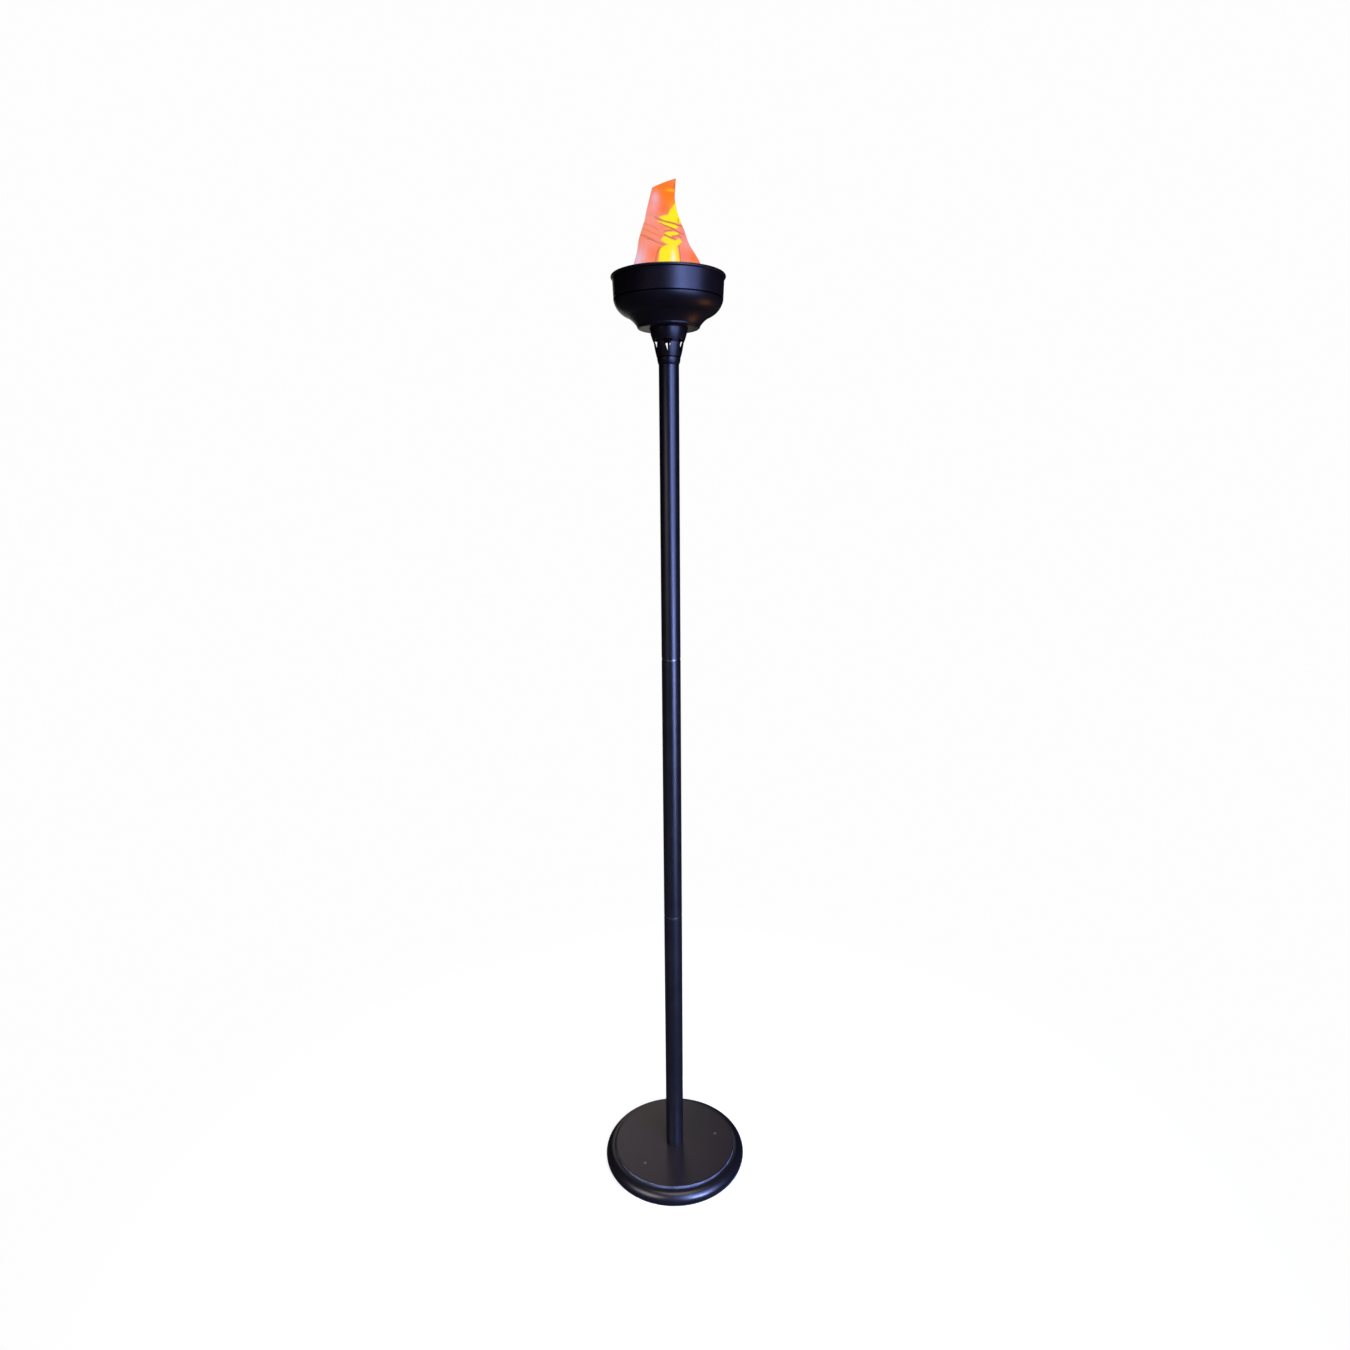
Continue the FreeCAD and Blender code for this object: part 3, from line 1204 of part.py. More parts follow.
def build():
    fill_sheet()
    base_cover()
    base_weight()
    cover_rivets()
    bottom_plate()
    battery_box()
    battery_door()
    hinge_pin()
    battery_cells()
    contact_springs()
    contact_plates()
    base_screws()
    rubber_feet()
    pole()
    neck_ferrule()
    neck()
    nipple_top = "neck_z + neck_floor_h + washer_h + nut_h + 1"
    ring("nipple_neck", "nipple_r", "lead_bore_r", "tube_top - nipple_hold", nipple_top)
    neck_floor = "neck_z + neck_floor_h"
    ring("washer_neck", "washer_r", "nipple_r + thread_gap", neck_floor, neck_floor + " + washer_h")
    hex_nut("nut_neck", neck_floor + " + washer_h")
    bowl()
    small_screws("bowl_screws", "bowl_screw_pcr", "bowl_z + bowl_wall", "(bowl_wall + neck_lip_h)",
                 "3", "vent_turn")
    bowl_band()
    deck_ring()
    deck()
    small_screws("deck_screws", "deck_screw_pcr", "deck_z", "(deck_h + ledge_h)", "3")
    hoops()
    led_board()
    lights("lights_yellow", "0")
    lights("lights_orange", "45")
    fan_frame()
    fan_motor()
    fan_rotor()
    fan_guard()
    fan_screws()
    switch()
    control_board()
    leads()
    silk_flame()
    doc.recompute()


def check():
    """Stop before anything is written if a feature failed or a sub-part is no sound solid."""
    faults = [o.Name for o in doc.Objects if {"Invalid", "Error"} & set(o.State)]
    for node in nodes:
        if node.Shape.isNull() or not node.Shape.isValid() or not node.Shape.Solids:
            faults.append(node.Label)
    if faults:
        raise RuntimeError("these objects failed: " + ", ".join(sorted(set(faults))))


def export():
    os.makedirs("parts", exist_ok=True)
    for node in nodes:
        node.Shape.exportStep(f"parts/{node.Label}.step")
        print(f"{node.Label}: {len(node.Shape.Solids)} solid(s), {node.Shape.Volume:.0f} mm3")


build()
check()
export()
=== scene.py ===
import math

import bpy
import numpy as np
from mathutils import Matrix, Vector, noise


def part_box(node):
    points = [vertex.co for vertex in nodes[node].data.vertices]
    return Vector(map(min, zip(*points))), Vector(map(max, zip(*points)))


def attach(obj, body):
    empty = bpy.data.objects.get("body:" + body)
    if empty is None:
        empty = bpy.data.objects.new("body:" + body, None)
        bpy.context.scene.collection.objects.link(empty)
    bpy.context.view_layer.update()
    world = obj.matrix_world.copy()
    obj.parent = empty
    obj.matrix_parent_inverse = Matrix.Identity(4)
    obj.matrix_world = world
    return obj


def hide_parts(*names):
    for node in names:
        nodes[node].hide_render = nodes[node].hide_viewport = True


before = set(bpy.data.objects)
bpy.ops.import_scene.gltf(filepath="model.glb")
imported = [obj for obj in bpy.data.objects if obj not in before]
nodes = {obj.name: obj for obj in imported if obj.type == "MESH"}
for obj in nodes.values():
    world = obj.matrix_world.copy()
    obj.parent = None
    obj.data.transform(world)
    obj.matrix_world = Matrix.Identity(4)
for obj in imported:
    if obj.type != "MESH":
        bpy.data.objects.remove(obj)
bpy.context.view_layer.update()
print("frame loaded:", len(nodes), "nodes")


# places read from the frame, in metres

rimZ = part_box("bowl_band")[1].z
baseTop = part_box("tube_lower")[0].z
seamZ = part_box("bowl")[1].z
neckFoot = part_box("neck_ferrule")[1].z
plateInset = 0.0173
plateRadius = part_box("base_cover")[1].x - plateInset
lensHeight = 0.0086


# studio: camera, floor, lights

studio = {
    "lens": 22.929, "cameraX": 0.0061, "cameraY": -1.3637, "cameraAboveBase": 1.1688,
    "pitchDown": 12.192, "roll": -0.385,
    "white": 0.985, "surroundings": (0.0045, 0.0040, 0.0050),
    "floorColour": (0.53, 0.53, 0.54), "floorGlow": 0.72, "floorSeenInGloss": (0.040, 0.038, 0.048),
    "floorRadius": 9.0, "floorFadeStart": 0.30, "floorFadeEnd": 1.1,
}

softLights = [
    # name, place, aimed at, width, height, watts, colour, spread in degrees
    ("windowRight", (0.95, -2.1, 1.55), (0, 0, 1.0), 0.80, 1.9, 64, (0.31, 0.41, 1.0), 180),
    ("windowWide", (1.75, -1.55, 1.20), (0, 0, 0.6), 1.20, 1.9, 50, (0.30, 0.39, 1.0), 180),
    ("lowRight", (1.25, -1.75, 0.42), (0, 0, 0.05), 0.9, 0.75, 13, (0.36, 0.46, 1.0), 60),
    ("overhead", (0.2, -0.6, 3.2), (0, 0, 0.2), 1.6, 1.6, 36, (1.0, 0.84, 0.82), 180),
    ("warmRight", (1.4, 0.5, 0.16), (0.03, 0, 1.44), 0.9, 0.9, 0.20, (1.0, 0.38, 0.12), 26),
    ("backFill", (-0.5, 2.6, 1.7), (0, 0, 1.0), 1.2, 1.8, 6.5, (1.0, 0.92, 0.84), 180),
    ("lowLeft", (-1.3, -1.5, 0.9), (0, 0, 0.0), 1.6, 1.3, 5.0, (1.0, 0.90, 0.93), 60),
]


def selectOnly(piece):
    for other in bpy.context.selected_objects:
        other.select_set(False)
    piece.select_set(True)
    bpy.context.view_layer.objects.active = piece


def named(piece, name):
    piece.name = name
    piece.data.name = name
    return piece


# shader maths: a socket that can be added, multiplied and compared like a number


class Wire:
    def __init__(self, finish, socket):
        self.finish = finish
        self.socket = socket

    def maths(self, operation, *values, **settings):
        settings["operation"] = operation
        return self.finish.add("ShaderNodeMath", settings, list(values))

    def __add__(self, other):
        return self.maths("ADD", self, other)

    def __radd__(self, other):
        return self.maths("ADD", other, self)

    def __sub__(self, other):
        return self.maths("SUBTRACT", self, other)

    def __rsub__(self, other):
        return self.maths("SUBTRACT", other, self)

    def __mul__(self, other):
        return self.maths("MULTIPLY", self, other)

    def __rmul__(self, other):
        return self.maths("MULTIPLY", other, self)

    def __truediv__(self, other):
        return self.maths("DIVIDE", self, other)

    def __rtruediv__(self, other):
        return self.maths("DIVIDE", other, self)

    def __pow__(self, other):
        return self.maths("POWER", self, other)

    def __neg__(self):
        return self.maths("MULTIPLY", self, -1.0)

    def __abs__(self):
        return self.maths("ABSOLUTE", self)

    def clamped(self):
        return self.maths("ADD", self, 0.0, use_clamp=True)


class Finish:
    def __init__(self, name, world=None):
        self.material = world or bpy.data.materials.new(name)
        self.material.use_nodes = True
        self.tree = self.material.node_tree
        self.tree.nodes.clear()

    def add(self, kind, settings=None, values=None, output=0):
        node = self.tree.nodes.new(kind)
        for key, value in (settings or {}).items():
            if key == "stops":
                self.fillRamp(node.color_ramp, value)
            else:
                setattr(node, key, value)
        pairs = values.items() if isinstance(values, dict) else enumerate(values or [])
        for key, value in pairs:
            socket = node.inputs[key]
            if isinstance(value, Wire):
                self.tree.links.new(value.socket, socket)
            else:
                socket.default_value = value
        return Wire(self, node.outputs[output]) if len(node.outputs) else None

    def fillRamp(self, ramp, stops):
        while len(ramp.elements) > 1:
            ramp.elements.remove(ramp.elements[-1])
        for place, colour in stops:
            element = ramp.elements[0] if place == stops[0][0] else ramp.elements.new(place)
            element.position = place
            element.color = colour if isinstance(colour, tuple) else (colour, colour, colour, 1)

    def place(self):
        return self.add("ShaderNodeTexCoord", output="Object")

    def split(self, vector):
        node = self.add("ShaderNodeSeparateXYZ", {}, [vector]).socket.node
        return [Wire(self, socket) for socket in node.outputs]

    def grain(self, scale, detail=3.0, roughness=0.5, stretch=(1, 1, 1)):
        turned = self.add("ShaderNodeMapping", {}, {"Vector": self.place(), "Scale": stretch})
        sizes = {"Vector": turned, "Scale": scale, "Detail": detail, "Roughness": roughness}
        return self.add("ShaderNodeTexNoise", {}, sizes)

    def ramp(self, factor, stops):
        return self.add("ShaderNodeValToRGB", {"stops": stops}, [factor])

    def between(self, value, low, high):
        limits = [value, low, high, 0.0, 1.0]
        return self.add("ShaderNodeMapRange", {"interpolation_type": "SMOOTHSTEP"}, limits)

    def mixed(self, factor, first, second):
        # sockets 0, 6 and 7 of a colour Mix are its factor and its two colours
        sides = [side if isinstance(side, Wire) else (*side[:3], 1) for side in (first, second)]
        return self.add("ShaderNodeMix", {"data_type": "RGBA"},
                        {0: factor, 6: sides[0], 7: sides[1]}, 2)

    def bumped(self, height, distance, strength=1.0):
        return self.add("ShaderNodeBump", {},
                        {"Strength": strength, "Distance": distance, "Height": height})

    def surface(self, **values):
        sockets = {key.replace("_", " "): value for key, value in values.items()}
        shader = self.add("ShaderNodeBsdfPrincipled", {}, sockets)
        self.add("ShaderNodeOutputMaterial", {}, {"Surface": shader})
        return self.material


def colour(*parts):
    return (*parts, 1.0)


# black finishes

coatLooks = {"colour": (0.0042, 0.0040, 0.0052), "worn": (0.012, 0.011, 0.013),
             "roughness": 0.33, "peelScale": 950, "peelDepth": 0.00003}
# the plate's edge carries a painted highlight, a thin bright bluish line, set by the reach, fade and
# colour entries
plateLooks = dict(coatLooks, colour=(0.0148, 0.0108, 0.0106), worn=(0.026, 0.019, 0.019),
                  edgeHighlightReach=0.0007, edgeHighlightFade=0.0004, edgeHighlightColour=(0.10, 0.11, 0.135), rollFade=0.004)


def powderCoat(name, looks, plateEdge=None):
    finish = Finish(name)
    mottle = finish.grain(38, 4, 0.6)
    peel = finish.grain(looks["peelScale"], 2, 0.5)
    specks = finish.between(finish.grain(420, 2, 0.7), 0.68, 0.76)
    tone = finish.mixed(finish.between(mottle, 0.35, 0.75) * 0.35, looks["colour"], looks["worn"])
    tone = finish.mixed(specks * 0.22, tone, (0.085, 0.085, 0.085))
    rough = looks["roughness"] + (mottle - 0.5) * 0.10 + specks * 0.10
    if plateEdge:
        # painted highlight: a thin bright bluish line along the edge of the plate, standing in for the
        # light caught on its rounded edge
        x, y, z = finish.split(finish.place())
        radius = (x * x + y * y) ** 0.5
        paintedEdgeHighlight = finish.between(looks["edgeHighlightReach"] - abs(radius - plateEdge), 0.0, looks["edgeHighlightFade"])
        paintedEdgeHighlight = paintedEdgeHighlight * (0.55 + 0.45 * finish.between(mottle, 0.3, 0.6))
        tone = finish.mixed(paintedEdgeHighlight, tone, looks["edgeHighlightColour"])
        # beyond the plate's edge the cover goes back to the coat colour, keeping the painted highlight
        outer = finish.between(radius, plateEdge - looks["rollFade"], plateEdge)
        tone = finish.mixed(outer, tone, finish.mixed(paintedEdgeHighlight, coatLooks["colour"], tone))
    return finish.surface(
        Base_Color=tone, Roughness=rough, Coat_Weight=0.10, Coat_Roughness=0.22,
        Normal=finish.bumped(peel, looks["peelDepth"], 0.5))


mouldLooks = {"colour": (0.0052, 0.0030, 0.0034), "pale": (0.0115, 0.0080, 0.0080),
              "roughness": 0.36, "grainScale": 1500, "grainDepth": 0.000025}


def satinMoulding(name, looks, roughness=None, seams=()):
    finish = Finish(name)
    cloud = finish.grain(24, 3, 0.55)
    fine = finish.grain(looks["grainScale"], 2, 0.6)
    rub = finish.between(finish.grain(130, 5, 0.7, stretch=(1, 1, 0.35)), 0.56, 0.82)
    tone = finish.mixed(finish.between(cloud, 0.3, 0.8) * 0.4, looks["colour"], looks["pale"])
    rough = (roughness or looks["roughness"]) + (cloud - 0.5) * 0.12 + rub * 0.07
    gloss = {"Base Color": tone, "Roughness": rough, "IOR": 1.46,
             "Normal": finish.bumped(fine, looks["grainDepth"], 0.45)}
    shader = finish.add("ShaderNodeBsdfPrincipled", {}, gloss)
    if seams:
        # shade that gathers in the joint lines
        x, y, z = finish.split(finish.place())
        lines = [finish.between(reach - abs(z - level), 0.0, reach * 0.6) for level, reach in seams]
        dull = finish.add("ShaderNodeBsdfPrincipled", {},
                          {"Base Color": colour(0.002, 0.0015, 0.002), "Roughness": 0.9,
                           "Specular IOR Level": 0.0})
        inLine = sum(lines[1:], lines[0]).clamped()
        shader = finish.add("ShaderNodeMixShader", {}, [inLine, shader, dull])
    finish.add("ShaderNodeOutputMaterial", {}, {"Surface": shader})
    return finish.material


# metals, rubber, boards, cells, cable


def castIron(name):
    finish = Finish(name)
    sand = finish.grain(620, 6, 0.7)
    stain = finish.between(finish.grain(28, 5, 0.65), 0.48, 0.72)
    tone = finish.mixed(stain * 0.7, (0.075, 0.072, 0.070), (0.115, 0.070, 0.048))
    return finish.surface(
        Base_Color=tone, Roughness=0.62 + sand * 0.2, Metallic=0.75,
        Normal=finish.bumped(sand, 0.0004, 0.8))


def platedSteel(name, tint=(0.62, 0.63, 0.66), dull=0.24):
    finish = Finish(name)
    drawn = finish.grain(260, 3, 0.6, stretch=(1, 1, 14))
    cloud = finish.grain(70, 3, 0.6)
    tone = finish.mixed(finish.between(cloud, 0.35, 0.75) * 0.5, tint, [part * 0.78 for part in tint])
    return finish.surface(
        Base_Color=tone, Roughness=dull + drawn * 0.16, Metallic=1.0,
        Normal=finish.bumped(drawn, 0.00002, 0.4))


def bronzeSleeve(name):
    finish = Finish(name)
    pores = finish.between(finish.grain(2600, 2, 0.6), 0.56, 0.66)
    tone = finish.mixed(pores * 0.8, (0.42, 0.26, 0.12), (0.10, 0.06, 0.03))
    return finish.surface(Base_Color=tone, Roughness=0.38 + pores * 0.3, Metallic=1.0,
                          Normal=finish.bumped(1 - pores, 0.00005, 0.5))


def softRubber(name):
    finish = Finish(name)
    dust = finish.between(finish.grain(240, 4, 0.7), 0.5, 0.8)
    tone = finish.mixed(dust * 0.5, (0.016, 0.016, 0.017), (0.070, 0.068, 0.064))
    return finish.surface(Base_Color=tone, Roughness=0.72 + dust * 0.18,
                          Normal=finish.bumped(dust, 0.00006, 0.4))


def circuitBoard(name):
    finish = Finish(name)
    tracks = finish.add("ShaderNodeTexBrick", {"offset": 0.35},
                        {"Vector": finish.place(), "Scale": 260.0, "Mortar Size": 0.03,
                         "Color1": colour(0, 0, 0), "Color2": colour(0.25, 0.25, 0.25),
                         "Mortar": colour(1, 1, 1)}, "Color")
    pads = finish.between(finish.grain(900, 1, 0.4), 0.66, 0.70)
    tone = finish.mixed(tracks * 0.35, (0.010, 0.085, 0.035), (0.035, 0.19, 0.085))
    tone = finish.mixed(pads * 0.6, tone, (0.55, 0.50, 0.42))
    return finish.surface(Base_Color=tone, Roughness=0.3 + pads * 0.1, Coat_Weight=0.3,
                          Normal=finish.bumped(tracks, 0.00003, 0.5))


def cellWrap(name, looks):
    finish = Finish(name)
    x, y, z = finish.split(finish.place())
    low, high = looks["span"]
    along = (y - low) / (high - low)
    band = finish.between(along, 0.70, 0.71)
    ends = 1 - finish.between(along, 0.006, 0.012) * (1 - finish.between(along, 0.988, 0.994))
    scuffs = finish.between(finish.grain(300, 5, 0.7, stretch=(3, 1, 3)), 0.58, 0.75)
    tone = finish.mixed(band, (0.020, 0.021, 0.024), (0.42, 0.19, 0.07))
    tone = finish.mixed(ends, tone, (0.60, 0.60, 0.60))
    tone = finish.mixed(scuffs * 0.12, tone, (0.4, 0.4, 0.4))
    metal = (band * 0.6 + ends).clamped()
    return finish.surface(Base_Color=tone, Metallic=metal, Roughness=0.26 + scuffs * 0.25,
                          Coat_Weight=0.4)


def chipBlack(name):
    finish = Finish(name)
    fine = finish.grain(1800, 2, 0.6)
    tone = finish.mixed(fine * 0.5, (0.008, 0.008, 0.009), (0.022, 0.022, 0.024))
    return finish.surface(Base_Color=tone, Roughness=0.34 + fine * 0.2,
                          Normal=finish.bumped(fine, 0.00002, 0.4))


def cableSheath(name):
    finish = Finish(name)
    fine = finish.grain(700, 3, 0.6, stretch=(1, 1, 0.2))
    tone = finish.mixed(fine * 0.5, (0.012, 0.012, 0.013), (0.034, 0.033, 0.034))
    return finish.surface(Base_Color=tone, Roughness=0.42 + fine * 0.14,
                          Normal=finish.bumped(fine, 0.00003, 0.4))


def lightLens(name, tint, deep, strength):
    finish = Finish(name)
    x, y, z = finish.split(finish.place())
    height = (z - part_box("led_board")[1].z) / lensHeight
    glow = finish.between(height, 0.1, 1.0)
    swirl = finish.grain(900, 2, 0.5)
    tone = finish.mixed(glow * (0.8 + swirl * 0.3), deep, tint)
    return finish.surface(Base_Color=tone, Roughness=0.10 + swirl * 0.08, Coat_Weight=0.6,
                          Emission_Color=tone, Emission_Strength=strength)


# silk flame: a sleeve blown up from its hem between the two hoops

flame = {
    "around": 288, "up": 150, "thickness": 0.00035,
    # height above the rim, middle, half width, half depth, in millimetres
    "stations": [
        (-15.2, 0.0, 51.45, 51.45), (-9.0, 0.0, 51.45, 51.45), (-3.0, -0.2, 51.3, 50.6),
        (4.2, -0.6, 50.6, 47.9), (13.7, -1.1, 49.3, 42.3), (30.2, -3.7, 42.8, 32.8),
        (46.8, -6.9, 35.8, 25.1), (63.2, -7.5, 30.3, 19.3), (80.8, -8.4, 24.1, 14.5),
        (101.0, -8.5, 19.1, 9.1), (114.5, -6.7, 17.8, 5.4), (124.5, -5.1, 17.0, 3.1),
    ],
    "slant": math.tan(math.radians(19.5)), "slantFrom": 89.0,
    "hemTop": -9.0, "pleats": 26, "pleatDepth": 0.85, "pleatFade": 55.0,
    # creases on the front: both ends (across from -1 to 1, height), depth and width in millimetres
    "creases": [
        (-0.5, 71.5, 0.86, 59.9, 1.9, 1.5), (-0.42, 66.8, 0.8, 52.5, -1.3, 1.5),
        (-0.98, 47.2, 0.02, 38.2, 1.7, 1.6), (-0.2, 54.6, 0.42, 48.8, -1.1, 1.4),
        (0.1, 46.1, 0.72, 32.9, 1.3, 1.5), (-0.45, 3.2, -0.2, 26.5, 1.5, 1.7),
        (0.3, 97.5, 0.62, 114.5, 1.2, 1.4), (-0.9, 80.6, -0.2, 74.2, 1.0, 2.2),
        (0.34, 2.1, 0.3, 28.6, -1.2, 1.8),
    ],
    # rolled hem at the top edge and sewn seam up the back, in millimetres
    "hemReach": 1.5, "hemSwell": 0.55, "seamReach": 1.3, "seamSwell": 0.6, "stitchPitch": 3.2,
    "simSteps": 26, "mostShift": 2.4,
}


def eased(points, where):
    # smooth curve through the stations, with flat ends
    last = len(points) - 1
    if where <= points[0][0]:
        return points[0][1:]
    if where >= points[last][0]:
        return points[last][1:]
    i = max(k for k in range(last) if points[k][0] <= where)
    before, here = points[max(i - 1, 0)], points[i]
    there, after = points[i + 1], points[min(i + 2, last)]
    span = there[0] - here[0]
    share = (where - here[0]) / span
    mixed = []
    for k in range(1, len(here)):
        slopeHere = (there[k] - before[k]) / max(there[0] - before[0], 1e-6) * span
        slopeThere = (after[k] - here[k]) / max(after[0] - here[0], 1e-6) * span
        share2, share3 = share * share, share ** 3
        mixed.append((2 * share3 - 3 * share2 + 1) * here[k] + (share3 - 2 * share2 + share) * slopeHere
                     + (3 * share2 - 2 * share3) * there[k] + (share3 - share2) * slopeThere)
    return mixed


# half width in millimetres that stands for 1 in the creases' places across
creaseSpan = 40


def creaseDepth(across, height, creases):
    total = 0.0
    for x0, z0, x1, z1, depth, width in creases:
        run = Vector(((x1 - x0) * creaseSpan, z1 - z0))
        offset = Vector(((across - x0) * creaseSpan, height - z0))
        along = offset.dot(run) / run.length_squared
        if not -0.15 < along < 1.15:
            continue
        away = abs(offset.x * run.y - offset.y * run.x) / run.length
        fade = max(0.0, 1 - (2 * along - 1) ** 4) if 0 < along < 1 else 0.0
        total += depth * fade * math.exp(-(away / width) ** 2)
    return total


def flamePoint(turn, share, looks):
    low, high = looks["stations"][0][0], looks["stations"][-1][0]
    height = low + (high - low) * share
    middle, width, depth = eased(looks["stations"], height)
    cosine, sine = math.cos(turn), math.sin(turn)
    slanting = max(0.0, (height - looks["slantFrom"]) / (high - looks["slantFrom"])) ** 1.3
    rise = height + looks["slant"] * width * cosine * slanting
    free = min(1.0, max(0.0, (height - looks["hemTop"]) / 12))
    pleat = math.sin(turn * looks["pleats"] + 0.6 * math.sin(3 * turn))
    pleat *= looks["pleatDepth"] * free * math.exp(-max(0, height) / looks["pleatFade"])
    pleat *= 0.55 + 0.45 * math.sin(turn * 5 + 1.3)
    spot = Vector((cosine * 2.1, sine * 2.1, height * 0.045))
    billow = noise.noise(spot) * 2.0 * free + noise.noise(spot * 2.7 + Vector((7, 3, 1))) * 0.9 * free
    swell = pleat + billow * min(1.0, depth / 16)
    if sine < 0.25:
        swell -= creaseDepth(cosine, height, looks["creases"]) * free
    if sine > -0.25:
        swell -= creaseDepth(-cosine, height * 0.92 + 9, looks["creases"]) * free
    swell += looks["hemSwell"] * math.exp(-((high - height) / looks["hemReach"]) ** 2)
    if sine > 0:
        stitch = 0.75 + 0.25 * math.sin(2 * math.pi * height / looks["stitchPitch"])
        swell += looks["seamSwell"] * stitch * math.exp(-(width * cosine / looks["seamReach"]) ** 2)
    x = middle + (width + swell * 0.45) * cosine
    y = (depth + swell) * sine
    return Vector((x, y, rise)) / 1000 + Vector((0, 0, rimZ))


def sewSleeve(looks):
    around, up = looks["around"], looks["up"]
    points = [flamePoint(2 * math.pi * i / around, j / up, looks)
              for j in range(up + 1) for i in range(around)]
    faces = []
    for j in range(up):
        for i in range(around):
            after = (i + 1) % around
            low, high = j * around, (j + 1) * around
            faces.append((low + i, low + after, high + after, high + i))
    mesh = bpy.data.meshes.new("silkFlame")
    mesh.from_pydata(points, [], faces)
    mesh.update()
    piece = bpy.data.objects.new("silkFlame", mesh)
    bpy.context.scene.collection.objects.link(piece)
    layer = mesh.uv_layers.new(name="Weave")
    for polygon in mesh.polygons:
        j, i = divmod(polygon.index, around)
        corners = ((i, j), (i + 1, j), (i + 1, j + 1), (i, j + 1))
        for loop, (u, v) in zip(polygon.loop_indices, corners):
            layer.data[loop].uv = (u / around, v / up)
    return piece


def blowSilk(piece, looks):
    # cloth held at its hem, lifted and shaken by the fan's air for a moment
    rest = [vertex.co.copy() for vertex in piece.data.vertices]
    low, high = looks["stations"][0][0], looks["stations"][-1][0]
    held = piece.vertex_groups.new(name="hem")
    for vertex in piece.data.vertices:
        height = low + (high - low) * (vertex.index // looks["around"]) / looks["up"]
        grip = 1.0 if height < looks["hemTop"] + 3 else 0.035
        held.add([vertex.index], grip, "REPLACE")
    selectOnly(piece)
    fields = []
    for kind, strength, spot in (("WIND", 9.0, (0, 0, rimZ - 0.02)), ("TURBULENCE", 7.0, (0, 0, rimZ))):
        bpy.ops.object.effector_add(type=kind, location=spot)
        field = bpy.context.object
        field.field.strength = strength
        field.field.seed = 4
        field.field.size = 0.03
        fields.append(field)
    selectOnly(piece)
    cloth = piece.modifiers.new("Cloth", "CLOTH")
    cloth.settings.quality = 6
    cloth.settings.mass = 0.04
    cloth.settings.tension_stiffness = 12
    cloth.settings.compression_stiffness = 4
    cloth.settings.shear_stiffness = 3
    cloth.settings.bending_stiffness = 0.02
    cloth.settings.air_damping = 2
    cloth.settings.vertex_group_mass = "hem"
    cloth.settings.pin_stiffness = 1.0
    cloth.settings.effector_weights.gravity = 0.0
    cloth.point_cache.frame_start = 1
    cloth.point_cache.frame_end = looks["simSteps"]
    scene = bpy.context.scene
    for step in range(1, looks["simSteps"] + 1):
        scene.frame_set(step)
    bpy.ops.object.modifier_apply(modifier="Cloth")
    scene.frame_set(1)
    for field in fields:
        bpy.data.objects.remove(field)
    most = looks["mostShift"] / 1000
    for vertex, before in zip(piece.data.vertices, rest):
        shift = vertex.co - before
        if shift.length > most:
            vertex.co = before + shift.normalized() * most
    piece.vertex_groups.clear()


